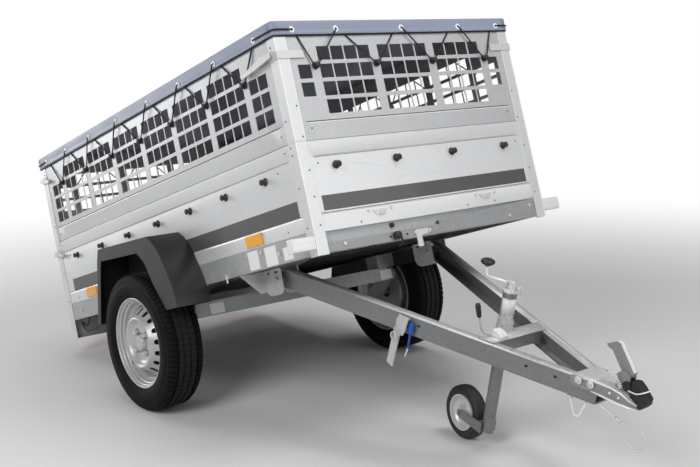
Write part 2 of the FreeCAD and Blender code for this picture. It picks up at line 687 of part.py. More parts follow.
def drawbar_arm():
    """Left arm of the V drawbar, a channel open to the inside, with a pivot boss."""
    z0 = ARM_TOP - ARM_HEIGHT
    rear = PIVOT_Y + ARM_HEIGHT / 2
    front = ARM_FRONT_Y
    channel = arm_strip(front, rear, 0, ARM_FLANGE, z0, ARM_TOP)
    channel = channel.cut(arm_strip(front - 1, rear + 1, ARM_WALL, ARM_FLANGE + 1, z0 + ARM_WALL,
                                    ARM_TOP - ARM_WALL))
    middle = ARM_TOP - ARM_HEIGHT / 2
    end = rod((-HALF, PIVOT_Y, middle), (-SEAT, PIVOT_Y, middle), ARM_HEIGHT / 2)
    keep = box(-HALF, -SEAT, front - 10, PIVOT_Y, z0 - 1, ARM_TOP + 1).fuse(end)
    channel = channel.common(keep)
    boss = rod((-ARM_REAR_X - LUG_GAP + 1, PIVOT_Y, PIVOT_Z), (-ARM_REAR_X + 52, PIVOT_Y, PIVOT_Z), 16)
    channel = channel.fuse(boss)
    hole = rod((-ARM_REAR_X - 60, PIVOT_Y, PIVOT_Z), (-ARM_REAR_X + 90, PIVOT_Y, PIVOT_Z), PIVOT_PIN + 0.05)
    for y in (ARM_FRONT_Y + 135, ARM_FRONT_Y + 233, ARM_FRONT_Y + 620):
        x = arm_line(y)
        channel = channel.cut(rod((x - 10, y, ARM_TOP - 25), (x + 15, y, ARM_TOP - 25), 5))
    return channel.cut(hole)


def brace():
    """Cross-plate between the arms at the jockey wheel, with a folded front edge."""
    x_rear = -arm_line(BRACE_REAR) - ARM_FLANGE / 2
    x_front = -arm_line(BRACE_FRONT) - ARM_FLANGE / 2
    z = ARM_TOP
    plate = prism([(-x_front, BRACE_FRONT, z), (-x_rear, BRACE_REAR, z), (x_rear, BRACE_REAR, z),
                   (x_front, BRACE_FRONT, z)], (0, 0, 3))
    plate = plate.cut(rod((0, JOCKEY_Y, z - 1), (0, JOCKEY_Y, z + 4), JOCKEY_TUBE + CLAMP_WALL + SEAT))
    inner = -arm_line(BRACE_FRONT) - ARM_FLANGE - 4
    fold = box(-inner, inner, BRACE_FRONT, BRACE_FRONT + 3, z - 40, z + 1)
    return fuse([plate, fold])


def drawbar():
    """Both arms with the cross-plate and the lower nose plate."""
    z0 = ARM_TOP - ARM_HEIGHT
    parts = pair(drawbar_arm())
    parts.append(brace())
    nose = ARM_FRONT_Y
    rear = nose + 90
    lower = prism([(arm_line(nose) + 1, nose, z0 - 3), (arm_line(rear) + 1, rear, z0 - 3),
                   (-arm_line(rear) - 1, rear, z0 - 3), (-arm_line(nose) - 1, nose, z0 - 3)], (0, 0, 3.2))
    parts.append(lower)
    return fuse(parts)


def head_section(y, half, top, low):
    """Closed outline across the coupling at one Y, rounded at its upper corners."""
    r = min(8.0, half * 0.4)
    points = [(-half, low), (-half, top - r), (-half + r * 0.3, top - r * 0.3), (-half + r, top),
              (half - r, top), (half - r * 0.3, top - r * 0.3), (half, top - r), (half, low)]
    vectors = [FreeCAD.Vector(x, y, z) for x, z in points]
    return Part.makePolygon(vectors + [vectors[0]])


def shell_sections(inset):
    """Cross-sections of the pressed head from its rear edge to its nose."""
    at = {ARM_FRONT_Y + 85: (-arm_line(ARM_FRONT_Y + 85) + 4.5, 9, -20),
          ARM_FRONT_Y + 20: (-arm_line(ARM_FRONT_Y + 20) + 4.5, 14, -20),
          ARM_FRONT_Y - 40: (37, 14, -20), BALL_Y: (33, 11, -21), BALL_Y - 32: (27, -2, -22),
          NOSE_Y + 8: (15, -11, -22)}
    wires = []
    for y in sorted(at, reverse=True):
        half, top, low = at[y]
        wires.append(head_section(y, half - inset, top - inset, low - inset * 3))
    return wires


def coupling():
    """Pressed head that straddles the arms' front ends, its socket open below."""
    head = Part.makeLoft(shell_sections(0), True, True)
    hollow = Part.makeLoft(shell_sections(SHELL), True, True)
    hollow = hollow.common(box(-HALF, HALF, BALL_Y - 60, BODY_LENGTH, -100, 100))
    head = head.cut(hollow)
    rear = ARM_FRONT_Y + 90
    edge = [(-arm_line(rear - 10) + 4, rear - 12), (-arm_line(ARM_FRONT_Y) + 10, ARM_FRONT_Y),
            (45, ARM_FRONT_Y - 42), (41, BALL_Y), (34, BALL_Y - 34), (20, NOSE_Y + 2), (8, NOSE_Y)]
    points = [(-x, y, -24) for x, y in edge] + [(x, y, -24) for x, y in reversed(edge)]
    flange = prism(points, (0, 0, 4))
    opening = [(-arm_line(rear) + 1.5, rear + 5), (-arm_line(ARM_FRONT_Y) + 1.5, ARM_FRONT_Y),
               (37 - SHELL, ARM_FRONT_Y - 40), (33 - SHELL, BALL_Y), (27 - SHELL, BALL_Y - 30), (12, NOSE_Y + 10)]
    hole = prism([(-x, y, -30) for x, y in opening] + [(x, y, -30) for x, y in reversed(opening)], (0, 0, 20))
    keep_out = pair(arm_strip(ARM_FRONT_Y - 2, ARM_FRONT_Y + 120, -SEAT, ARM_FLANGE + 6, -80,
                              ARM_TOP - HEAD_LIFT + SEAT))
    body = fuse([head, flange.cut(hole)])
    for shape in keep_out:
        body = body.cut(shape)
    body = body.cut(Part.makeSphere(BALL_RADIUS + 0.2, FreeCAD.Vector(0, BALL_Y, BALL_Z - HEAD_LIFT)))
    bolts = []
    for y in (ARM_FRONT_Y + 56, ARM_FRONT_Y + 17):
        x = arm_line(y) - 4
        bolts += pair(rod((x - 7, y, 0), (x + 0.3, y, 0), 9))
    result = fuse([body] + bolts)
    return max(result.Solids, key=lambda s: s.Volume)


def lever():
    """Coupling lever, a channel that stands up from the head and opens to the rear."""
    side = [(-806, 62), (-812, 78), (-744, 150), (-732, 152), (-698, 132), (-704, 124), (-722, 120), (-772, 66)]
    body = side_plate(side, -11, 11)
    hollow = [(-790, 50), (-798, 74), (-739, 139), (-690, 134), (-760, 50)]
    return body.cut(side_plate(hollow, -8, 8))


def catch_lever():
    """Lever with the catch under it: two cheeks, a pin and the turns of the spring."""
    cheek = side_plate([(-760, 14.4), (-756, 56), (-770, 72), (-790, 78), (-806, 70), (-810, 14.4)], -15, -11)
    pin = rod((-17, -797, 66), (17, -797, 66), 5)
    base = box(-15, 15, -806, -762, 14.4, 19)
    parts = pair(cheek) + [lever(), pin, base]
    for k in range(4):
        y = -759 - k * 8
        z = 56 - k * 8
        parts.append(rod((-16, y, z), (16, y, z), 3))
    return fuse(parts)


def bumper():
    """Rubber bumper over the nose of the coupling."""
    side = [(-815, 3.4), (-813, 56), (-830, 60), (-848, 50), (-880, 22), (-879, 4), (-868, -12), (-860, -19.7),
            (-848.5, -19.7), (-848.5, -10.5), (-827, -1.6)]
    body = side_plate(side, -16, 16)
    edges = [e for e in body.Edges if abs(e.BoundBox.XLength) < 0.1 and e.BoundBox.ZMin > -8]
    return body.makeFillet(3, edges)


def bail():
    """Wire bail round the bumper."""
    path = [(-17.5, -792, 24), (-19, -812, 24), (-22, -842, 26), (-20, -866, 42), (0, -874, 48), (20, -866, 42),
            (22, -842, 26), (19, -812, 24), (17.5, -792, 24)]
    return wire_path(path, 2.2)[0]


def raised(shape):
    """Shape of the coupling group, moved to its height on the arms."""
    return shape.translated(FreeCAD.Vector(0, 0, HEAD_LIFT))


def jockey_outer():
    """Outer tube of the jockey wheel with its collar and cap."""
    y = JOCKEY_Y
    body = tube((0, y, JOCKEY_OUTER_BOTTOM), (0, y, JOCKEY_TOP), JOCKEY_TUBE, JOCKEY_BORE)
    cap = lathe([(JOCKEY_TOP - 1, 0), (JOCKEY_TOP - 1, JOCKEY_TUBE + 3), (JOCKEY_TOP + 7, JOCKEY_TUBE + 3),
                 (JOCKEY_TOP + 9, 15), (JOCKEY_TOP + 36, 15), (JOCKEY_TOP + 39, 12), (JOCKEY_TOP + 39, 0)],
                (0, y, 0), (0, 0, 1))
    return fuse([body, cap])


def jockey_clamp():
    """Clamp round the jockey tube, seated on the cross-plate, with its bolt."""
    y = JOCKEY_Y
    z1 = ARM_TOP + 9
    z0 = ARM_TOP - 42
    ring = tube((0, y, z0), (0, y, z1), JOCKEY_TUBE + CLAMP_WALL, JOCKEY_TUBE + SEAT)
    foot = box(-26, 26, BRACE_FRONT + 3 + SEAT, y, z0, ARM_TOP - SEAT)
    foot = foot.cut(rod((0, y, z0 - 1), (0, y, z1), JOCKEY_TUBE + 2))
    ear = box(-44, -20, y - 7, y + 7, z0 + 8, z1 - 6)
    bolt = rod((-34, y - 20, z0 + 20), (-34, y + 20, z0 + 20), 5)
    return fuse([ring, foot, ear.cut(rod((0, y, z0), (0, y, z1), JOCKEY_TUBE + 2)), bolt])


def clamp_lever():
    """Bent lever of the clamp."""
    y = JOCKEY_Y
    path = [(-44 - SEAT, y - 2, ARM_TOP - 20), (-58, y + 4, ARM_TOP - 16), (-78, y + 27, ARM_TOP - 9),
            (-80, y + 46, ARM_TOP + 34)]
    return wire_path(path, 4)[0]


def clamp_grip():
    """Grip of the clamp lever."""
    y = JOCKEY_Y
    start = FreeCAD.Vector(-80, y + 46.2, ARM_TOP + 34.4)
    axis = FreeCAD.Vector(-2, 16, 46).normalize()
    return lathe([(0, 0), (0, 7), (10, 9), (38, 10), (48, 7), (48, 0)], tuple(start), tuple(axis))


def jockey_ring():
    """Wire ring at the collar of the jockey tube."""
    centre = FreeCAD.Vector(JOCKEY_TUBE + 20 + SEAT, JOCKEY_Y, JOCKEY_TOP - 14)
    return Part.makeTorus(17, 3, centre, FreeCAD.Vector(0, 1, 0))


def crank():
    """Crank arm on the jockey head, pointing to the rear."""
    z = JOCKEY_TOP + 26
    path = [(0, JOCKEY_Y + 15 + SEAT * 4, z), (0, JOCKEY_Y + 116, z - 14), (0, JOCKEY_Y + 119, z + 23)]
    return wire_path(path, 5)[0]


def knob():
    """Flattened crank knob."""
    z = JOCKEY_TOP + 49 + SEAT
    y = JOCKEY_Y + 119
    return lathe([(0, 0), (0, 10), (4, 11), (7, 21), (12, 25), (18, 24), (23, 17), (25, 0)], (0, y, z), (0, 0, 1))


def jockey_inner():
    """Inner tube that slides in the outer tube."""
    return rod((0, JOCKEY_Y, JOCKEY_BOTTOM + 60), (0, JOCKEY_Y, -20), JOCKEY_INNER)


def jockey_fork():
    """Swivel foot and fork of the jockey wheel."""
    foot = rod((0, JOCKEY_Y, JOCKEY_BOTTOM), (0, JOCKEY_Y, JOCKEY_BOTTOM + 60 - SEAT), JOCKEY_INNER)
    z = JOCKEY_WHEEL_Z
    wheel_y = JOCKEY_Y + JOCKEY_TRAIL
    cheek = side_plate([(JOCKEY_Y, z - 15), (JOCKEY_Y, z + 24), (JOCKEY_Y + 40, z + 22), (wheel_y - 6, z + 16),
                        (wheel_y + 12, z + 8), (wheel_y + 12, z - 10), (wheel_y - 10, z - 16),
                        (JOCKEY_Y + 40, z - 15)], -JOCKEY_WIDTH / 2 - 9, -JOCKEY_WIDTH / 2 - 5)
    reach = JOCKEY_WIDTH / 2 + 9
    web = box(-reach, reach, JOCKEY_Y + 10, JOCKEY_Y + 22, z - 15, z + 23)
    pin = rod((-reach - 4, wheel_y, z), (reach + 4, wheel_y, z), 6)
    return fuse([foot, web, pin] + pair(cheek))


def jockey_tyre():
    """Solid rubber tyre of the jockey wheel."""
    w = JOCKEY_WIDTH / 2
    r = JOCKEY_RADIUS
    at = (0, JOCKEY_Y + JOCKEY_TRAIL, JOCKEY_WHEEL_Z)
    return lathe([(-w + 4, r - 32), (-w, r - 26), (-w, r - 10), (-w + 8, r - 2), (0, r), (w - 8, r - 2), (w, r - 10),
                  (w, r - 26), (w - 4, r - 32)], at, (1, 0, 0))


def jockey_rim():
    """Dished steel rim of the jockey wheel."""
    w = JOCKEY_WIDTH / 2
    r = JOCKEY_RADIUS - 32 - SEAT / 2
    at = (0, JOCKEY_Y + JOCKEY_TRAIL, JOCKEY_WHEEL_Z)
    return lathe([(-w - 1, r), (-w - 1, r - 5), (-w + 10, r - 8), (-6, r - 16), (-6, 24), (-w, 20), (-w, 6.05),
                  (w, 6.05), (w, 20), (6, 24), (6, r - 16), (w - 10, r - 8), (w + 1, r - 5), (w + 1, r)],
                 at, (1, 0, 0))


def tip_lock():
    """Tipping lock on the left arm: bracket, hanging bar and ring pin."""
    y = ARM_FRONT_Y + 672
    x = arm_line(y)
    bracket = side_plate([(y - 29, ARM_TOP - 1), (y + 16, ARM_TOP - 1), (y + 27, ARM_TOP - 22), (y + 29, ARM_TOP - 60),
                          (y + 20, ARM_TOP - 74), (y - 10, ARM_TOP - 72), (y - 20, ARM_TOP - 50)], x - 16, x - 12)
    foot = box(x - 13, x + 2, y - 22, y + 14, ARM_TOP - 12, ARM_TOP - 6)
    foot = foot.fuse(box(x - 13, x + 2, y - 12, y + 18, ARM_TOP - 52, ARM_TOP - 46))
    bar = side_plate([(y - 2, ARM_TOP - 58), (y + 28, ARM_TOP - 52), (y + 44, ARM_TOP - 190), (y + 14, ARM_TOP - 198)],
                     x - 22, x - 16)
    pin = rod((x - 30, y + 14, ARM_TOP - 64), (x - 10, y + 14, ARM_TOP - 64), 6)
    cut = drawbar_arm()
    return fuse([bracket, foot.cut(cut), bar, pin])


def lock_ring():
    """Ring of the lock's pin."""
    y = ARM_FRONT_Y + 672 + 14
    x = arm_line(ARM_FRONT_Y + 672) - 30
    centre = FreeCAD.Vector(x - 2.9 - SEAT, y, ARM_TOP - 64 - 13)
    return Part.makeTorus(13, 2.6, centre, FreeCAD.Vector(1, 0, 0))


def lock_keys():
    """Blue key head with its strap and key."""
    y = ARM_FRONT_Y + 637
    x = arm_line(y) - 13
    head = box(x - 5, x + 5, y - 11, y + 11, ARM_TOP - 58, ARM_TOP - 17)
    head = head.makeFillet(3.5, [e for e in head.Edges if e.BoundBox.XLength > 5])
    strap = side_plate([(y - 8, ARM_TOP - 57), (y + 4, ARM_TOP - 57), (y + 6, ARM_TOP - 114), (y - 8, ARM_TOP - 114)],
                       x - 4, x + 1)
    key = side_plate([(y - 2, ARM_TOP - 112), (y + 5, ARM_TOP - 112), (y + 14, ARM_TOP - 146), (y + 7, ARM_TOP - 148)],
                     x - 1, x + 1)
    peg = rod((x - 1, y, ARM_TOP - 30), (arm_line(y) - 1.5, y, ARM_TOP - 30), 4)
    return fuse([head, strap, key, peg])


def wire_guide():
    """Bent wire under the nose that guides the breakaway cable."""
    z = ARM_TOP - ARM_HEIGHT - 3 - SEAT * 5
    path = [(-40, -620, z), (-35, -646, z - 68), (-31, -660, z - 68), (-26, -680, z)]
    return wire_path(path, 4)[0]


CABLE = [(-12.0, -708.0, -75.0), (-6.0, -746.0, -86.0), (0.0, -784.0, -101.0), (4.0, -812.0, -137.0),
         (4.0, -832.0, -163.0), (4.0, -866.0, -169.0), (2.0, -893.0, -145.0), (0.0, -898.0, -107.0),
         (-3.0, -868.0, -91.0), (-5.0, -828.0, -93.0), (-6.0, -790.0, -94.0)]
CABLE_RADIUS = 2.5


def breakaway_cable():
    """Breakaway cable with its loop, hanging under the nose."""
    shape, radii = wire_path(CABLE, CABLE_RADIUS)
    print("cable radii", radii)
    return shape


def plug():
    """Parked plug on the front beam with a cap above it."""
    body = lathe([(0, 0), (0, 13), (6, 15), (18, 14), (22, 8), (22, 0)], (-210, SHEET - SEAT, 17), (0, -1, 0))
    cap = lathe([(0, 0), (0, 9), (7, 8), (9, 0)], (-208, SHEET + STEP_BACK - SEAT, 56), (0, -1, 0))
    return Part.makeCompound([body, cap])


def catches():
    """Four catches under the lower bead of the front wall, each with two bolts."""
    shapes = []
    for x in (-255.0, 255.0):
        z = RAIL_HEIGHT + 32
        y = SHEET - SEAT
        plate = front_plate([(x - 34, z + 6), (x + 34, z + 6), (x + 16, z - 14), (x - 16, z - 14)], y - 2, y)
        hook = front_plate([(x - 2, z + 2), (x + 10, z + 8), (x + 6, z - 12), (x - 6, z - 12)], y - 8, y - 1)
        bolts = [rod((x + d, y - 4, z + 6), (x + d, y, z + 6), 5) for d in (-50, 50)]
        shapes.append(fuse([plate, hook]))
        shapes += bolts
    return Part.makeCompound(shapes)


# Resting pose
def rotate_x(shape, angle, y, z):
    """Shape turned about an axis along X."""
    placed = shape.copy()
    placed.rotate(FreeCAD.Vector(0, y, z), FreeCAD.Vector(1, 0, 0), angle)
    return placed


def turn(y, z, angle, cy, cz):
    """Point turned about an axis along X."""
    a = math.radians(angle)
    dy = y - cy
    dz = z - cz
    return cy + dy * math.cos(a) - dz * math.sin(a), cz + dy * math.sin(a) + dz * math.cos(a)


def ground_angle():
    """Angle that sets both road wheels and the jockey wheel on one level ground."""
    wheel = turn(AXLE_Y, AXLE_Z, -TIP_ANGLE, PIVOT_Y, PIVOT_Z)
    small = (JOCKEY_Y + JOCKEY_TRAIL * math.cos(math.radians(JOCKEY_SWIVEL)), JOCKEY_WHEEL_Z)
    dy = wheel[0] - small[0]
    dz = wheel[1] - small[1]
    distance = math.hypot(dy, dz)
    centres = math.degrees(math.atan2(dz, dy))
    return math.degrees(math.asin((TYRE_RADIUS - JOCKEY_RADIUS) / distance)) - centres


NOSE_ANGLE = ground_angle()


def main():
    side = side_panel()
    mesh = mesh_side()
    end = mesh_end()
    arch = fender()
    tipped = {
        "chassis": chassis(),
        "end_beams": Part.makeCompound([front_beam(), rear_beam()]),
        "corner_posts": posts(),
        "side_panel_left": side,
        "side_panel_right": mirrored(side),
        "front_panel": front_panel(),
        "floor": floor(),
        "tailboard": tailboard(),
        "mesh_panel_left": mesh,
        "mesh_panel_right": mirrored(mesh),
        "mesh_panel_front": end,
        "mesh_panel_rear": end_for_end(end),
        "tarp": tarp(),
        "tarp_hooks": tarp_hooks(),
        "rubber_hooks": Part.makeCompound(wall_hooks(RUBBER_HOOK_Z)),
        "latches": Part.makeCompound([latches(), catches()]),
        "reflectors": reflectors(),
        "front_lamps": front_lamps(),
        "rear_lamps": rear_lamps(),
        "plug": plug(),
        "fender_left": arch,
        "fender_right": mirrored(arch),
        "axle": axle(),
        "pivot_brackets": pivot_brackets(),
        "tyre_left": tyre(-WHEEL_X),
        "rim_left": rim(-WHEEL_X, -1),
        "tyre_right": tyre(WHEEL_X),
        "rim_right": rim(WHEEL_X, 1),
    }
    level = {
        "drawbar": drawbar(),
        "coupling_head": raised(coupling()),
        "coupling_lever": raised(catch_lever()),
        "coupling_bumper": raised(bumper()),
        "jockey_outer": jockey_outer(),
        "jockey_clamp": Part.makeCompound([jockey_clamp(), clamp_lever()]),
        "jockey_grips": Part.makeCompound([knob(), clamp_grip()]),
        "jockey_crank": crank(),
        "jockey_inner": jockey_inner(),
        "jockey_fork": jockey_fork(),
        "jockey_tyre": jockey_tyre(),
        "jockey_rim": jockey_rim(),
        "tip_lock": Part.makeCompound([tip_lock(), lock_ring()]),
        "lock_keys": lock_keys(),
        "wire_forms": Part.makeCompound([raised(bail()), wire_guide(), jockey_ring()]),
        "breakaway_cable": breakaway_cable(),
    }
    for name in ("jockey_fork", "jockey_tyre", "jockey_rim"):
        level[name].rotate(FreeCAD.Vector(0, JOCKEY_Y, 0), FreeCAD.Vector(0, 0, 1), JOCKEY_SWIVEL)
    placed = {}
    for name, shape in tipped.items():
        tilted = rotate_x(shape, -TIP_ANGLE, PIVOT_Y, PIVOT_Z)
        placed[name] = rotate_x(tilted, NOSE_ANGLE, PIVOT_Y, PIVOT_Z)
    for name, shape in level.items():
        placed[name] = rotate_x(shape, NOSE_ANGLE, PIVOT_Y, PIVOT_Z)
    wheel = turn(AXLE_Y, AXLE_Z, NOSE_ANGLE - TIP_ANGLE, PIVOT_Y, PIVOT_Z)
    lift = TYRE_RADIUS - wheel[1]
    boxes = [s.optimalBoundingBox(False) for name, s in placed.items() if name != "breakaway_cable"]
    y_min = min(b.YMin for b in boxes)
    y_max = max(b.YMax for b in boxes)
    shift = FreeCAD.Vector(0, -(y_min + y_max) / 2, lift)
    os.makedirs("parts", exist_ok=True)
    for name, shape in placed.items():
        shape.translate(shift)
        shape.exportStep("parts/" + name + ".step")
        if not shape.isValid() or len(shape.Solids) < 1:
            print("INVALID", name, len(shape.Solids))
    print("SHIFT", shift.y, shift.z, "NOSE", NOSE_ANGLE, "TIP", TIP_ANGLE)

    def show(label, y, z, angle):
        p = turn(y, z, angle, PIVOT_Y, PIVOT_Z)
        print("POINT", label, round(p[0] + shift.y, 3), round(p[1] + shift.z, 3))

    show("pivot", PIVOT_Y, PIVOT_Z, 0)
    show("wheel", AXLE_Y, AXLE_Z, NOSE_ANGLE - TIP_ANGLE)
    show("tail_hinge", HINGE_Y, HINGE_Z, NOSE_ANGLE - TIP_ANGLE)
    show("jockey_low", JOCKEY_Y, JOCKEY_BOTTOM, NOSE_ANGLE)
    swing = math.radians(JOCKEY_SWIVEL)
    show("jockey_wheel", JOCKEY_Y + JOCKEY_TRAIL * math.cos(swing), JOCKEY_WHEEL_Z, NOSE_ANGLE)
    show("ball", BALL_Y, BALL_Z, NOSE_ANGLE)


main()
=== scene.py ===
import json
import math

import bmesh
import bpy
from mathutils import Matrix, Vector

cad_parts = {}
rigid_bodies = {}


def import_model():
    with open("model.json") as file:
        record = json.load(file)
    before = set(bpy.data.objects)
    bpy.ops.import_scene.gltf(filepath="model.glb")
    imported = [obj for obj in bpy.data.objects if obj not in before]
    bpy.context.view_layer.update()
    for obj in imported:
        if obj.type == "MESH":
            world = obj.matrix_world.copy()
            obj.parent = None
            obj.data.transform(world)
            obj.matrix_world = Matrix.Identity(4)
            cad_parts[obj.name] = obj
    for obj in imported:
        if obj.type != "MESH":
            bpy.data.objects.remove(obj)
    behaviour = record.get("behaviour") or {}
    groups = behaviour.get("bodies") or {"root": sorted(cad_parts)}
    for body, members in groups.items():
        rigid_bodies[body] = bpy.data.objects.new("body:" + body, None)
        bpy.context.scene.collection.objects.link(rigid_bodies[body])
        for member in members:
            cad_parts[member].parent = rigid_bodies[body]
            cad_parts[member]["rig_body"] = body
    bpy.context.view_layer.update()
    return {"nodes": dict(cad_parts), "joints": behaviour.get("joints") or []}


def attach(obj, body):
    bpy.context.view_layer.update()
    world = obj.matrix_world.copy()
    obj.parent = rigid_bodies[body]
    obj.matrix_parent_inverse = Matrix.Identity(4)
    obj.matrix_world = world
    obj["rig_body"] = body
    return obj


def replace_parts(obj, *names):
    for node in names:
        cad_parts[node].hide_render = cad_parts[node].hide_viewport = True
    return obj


bl_info = {
    "name": "Tipping Trailer Finish",
    "version": (1, 0, 0),
    "blender": (4, 5, 0),
    "location": "View3D > Sidebar > Trailer",
    "description": "Sheet, zinc, tarp, lacing, tyres and fittings round a tipping utility trailer",
    "category": "Object",
}

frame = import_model()
JOINTS = {joint["name"]: joint for joint in frame["joints"]}

# The box and the drawbar are described level, with the box's front face at Y 0
# and the underside of its rails at Z 0, and are then turned about the pivot pins.
PIVOT = Vector(JOINTS["tip"]["pos_m"])
LEVEL_PIVOT = Vector((0, 0.470, -0.042))
LEVEL_HINGE = Vector((0, 2.060, 0.084))
BODY_HALF = 0.550
BODY_LENGTH = 2.048
SHEET = 0.0025
WALL_X = BODY_HALF - SHEET
FAR = BODY_LENGTH - SHEET
UPPER_TOP = 0.780
HOOK_PITCH = 0.268
TARP_HOOK_Z = 0.627
RUBBER_HOOK_Z = 0.286
TYRE_RADIUS = 0.2735
WHEEL_X = 0.634
ARM_TOP = -0.003
JOCKEY_Y = -0.277
MESH_LOW = 0.3753
MESH_DEPTH = 0.018
WINDOW_WIDE = 0.053
WINDOW_HIGH = 0.048
WINDOW_BAR = 0.006
WINDOW_LOW = 0.461
ROW_PITCH = 0.0617
FOLD_Z = 0.437
FOLD_END = 0.062
POST_EDGE = 0.0462
SIDE_EYELETS = (0.108, 0.377, 0.646, 0.908, 1.196, 1.470, 1.726, 1.960)
FRONT_EYELETS = (-0.475, -0.289, 0.010, 0.293, 0.495)
EYELET_Z = 0.751
TARP_OUT = 0.0052
HEM_Z = UPPER_TOP - 0.048
FILM = 0.0002
FILM_GAP = 0.00004
HUB_FACE = 0.0485

LEFT = Vector((-1, 0, 0))
RIGHT = Vector((1, 0, 0))
AHEAD = Vector((0, -1, 0))
BACK = Vector((0, 1, 0))
UP = Vector((0, 0, 1))
SIDES = (("left", -1, LEFT), ("right", 1, RIGHT))


def turned_angle(a, b):
    """Angle about X from level direction a to placed direction b."""
    return math.atan2(b.z, b.y) - math.atan2(a.z, a.y)


def turned_frame(angle):
    """Placement of the level description, turned about the pivot."""
    return Matrix.Translation(PIVOT) @ Matrix.Rotation(angle, 4, "X") @ Matrix.Translation(-LEVEL_PIVOT)


SLIDE = Vector(JOINTS["jockey_slide"]["axis"])
BOX = turned_frame(turned_angle(LEVEL_HINGE - LEVEL_PIVOT, Vector(JOINTS["tailboard"]["pos_m"]) - PIVOT))
BAR = turned_frame(math.atan2(SLIDE.y, -SLIDE.z))
WHEEL = Vector(JOINTS["wheel_left_spin"]["pos_m"])


def length(name, description, default):
    return bpy.props.FloatProperty(name=name, description=description, default=default, unit="LENGTH")


def tint(name, description, default):
    return bpy.props.FloatVectorProperty(name=name, description=description, default=default, subtype="COLOR")


class TrailerSizes(bpy.types.PropertyGroup):
    sheet_bend: length("Sheet bend", "Rounding of the folded sheet's edges", 0.0011)
    lacing: length("Lacing", "Thickness of the elastic lacing", 0.0054)
    eyelet: length("Eyelet", "Outer radius of the tarp's eyelets", 0.0112)
    rivet: length("Rivet", "Radius of the rivet heads", 0.0042)
    tarp_sag: length("Tarp sag", "How far the middle of the tarp hangs", 0.008)
    groove: length("Tread groove", "Depth of the tyre's grooves", 0.006)


class TrailerColours(bpy.types.PropertyGroup):
    sheet: tint("Sheet", "Colour of the wall sheets", (0.74, 0.75, 0.76))
    mesh: tint("Pierced sheet", "Colour of the window walls", (0.55, 0.56, 0.57))
    zinc: tint("Zinc", "Colour of the hot-dipped steel", (0.36, 0.37, 0.38))
    tarp: tint("Tarp", "Colour of the coated cloth", (0.265, 0.300, 0.398))
    stripe: tint("Stripe", "Colour of the band on the walls", (0.085, 0.086, 0.090))
    fender: tint("Fender", "Colour of the moulded fenders", (0.016, 0.0165, 0.018))
    amber: tint("Amber", "Colour of the side reflectors", (0.95, 0.42, 0.01))


# Node helpers

def open_group(name, kind, inputs, outputs):
    """Node group with named sockets; returns its tree, its inputs' sockets and its output node."""
    tree = bpy.data.node_groups.new(name, kind)
    for label, sort, *value in inputs:
        socket = tree.interface.new_socket(label, in_out="INPUT", socket_type="NodeSocket" + sort)
        if value:
            socket.default_value = value[0]
    for label, sort in outputs:
        tree.interface.new_socket(label, in_out="OUTPUT", socket_type="NodeSocket" + sort)
    return tree, tree.nodes.new("NodeGroupInput").outputs, tree.nodes.new("NodeGroupOutput")


def put(tree, kind, inputs=None, **settings):
    """Node with its settings; each input, by label or number, is given a value or a link."""
    node = tree.nodes.new(kind)
    for name, value in settings.items():
        setattr(node, name, value)
    for label, value in (inputs or {}).items():
        if isinstance(value, bpy.types.NodeSocket):
            tree.links.new(value, node.inputs[label])
        else:
            node.inputs[label].default_value = value
    return node


def deliver(tree, end, **values):
    """Links to a group's outputs."""
    for label, socket in values.items():
        tree.links.new(socket, end.inputs[label])


def calc(tree, operation, *values, clamp=False):
    """Math on sockets and numbers."""
    return put(tree, "ShaderNodeMath", dict(enumerate(values)), operation=operation, use_clamp=clamp).outputs[0]


def noise(tree, vector, scale, detail=2.0, roughness=0.5):
    """Noise read along a vector."""
    return put(tree, "ShaderNodeTexNoise", {"Detail": detail, "Roughness": roughness, "Scale": scale,
                                            "Vector": vector}).outputs[0]


def shade(tree, colour, factor):
    """Colour made lighter or darker by a factor."""
    return put(tree, "ShaderNodeVectorMath", {0: colour, "Scale": factor}, operation="SCALE").outputs[0]


def parts_of(tree, vector):
    """X, Y and Z of a vector."""
    return put(tree, "ShaderNodeSeparateXYZ", {0: vector}).outputs


# Shader groups

VECTOR = ("Vector", "Vector")
COLOR = ("Color", "Color", (0.5, 0.5, 0.5, 1))
ROUGHNESS = ("Roughness", "Float")
HEIGHT = ("Height", "Float")


def zinc_bloom():
    """Crystals and clouds of a zinc coat."""
    tree, given, end = open_group(
        "Zinc Bloom", "ShaderNodeTree",
        [VECTOR, ("Tone", *COLOR[1:]), ("Crystals per Metre", "Float", 90.0), ("Bloom", "Float", 0.1),
         (*ROUGHNESS, 0.45)], [COLOR[:2], ROUGHNESS, HEIGHT])
    cells = put(tree, "ShaderNodeTexVoronoi", {"Randomness": 1.0, "Vector": given["Vector"],
                                               "Scale": given["Crystals per Metre"]})
    split = put(tree, "ShaderNodeSeparateColor", {0: cells.outputs["Color"]}).outputs
    grain = calc(tree, "MULTIPLY", calc(tree, "SUBTRACT", split[0], 0.5), given["Bloom"])
    cloud = calc(tree, "SUBTRACT", noise(tree, given["Vector"], 3.1, 4.0), 0.5)
    wash = calc(tree, "MULTIPLY", cloud, calc(tree, "MULTIPLY", given["Bloom"], 1.4))
    factor = calc(tree, "ADD", calc(tree, "ADD", grain, wash), 1.0)
    rough = calc(tree, "ADD", given["Roughness"], calc(tree, "MULTIPLY", grain, 0.9))
    deliver(tree, end, Color=shade(tree, given["Tone"], factor), Roughness=rough, Height=split[1])
    return tree


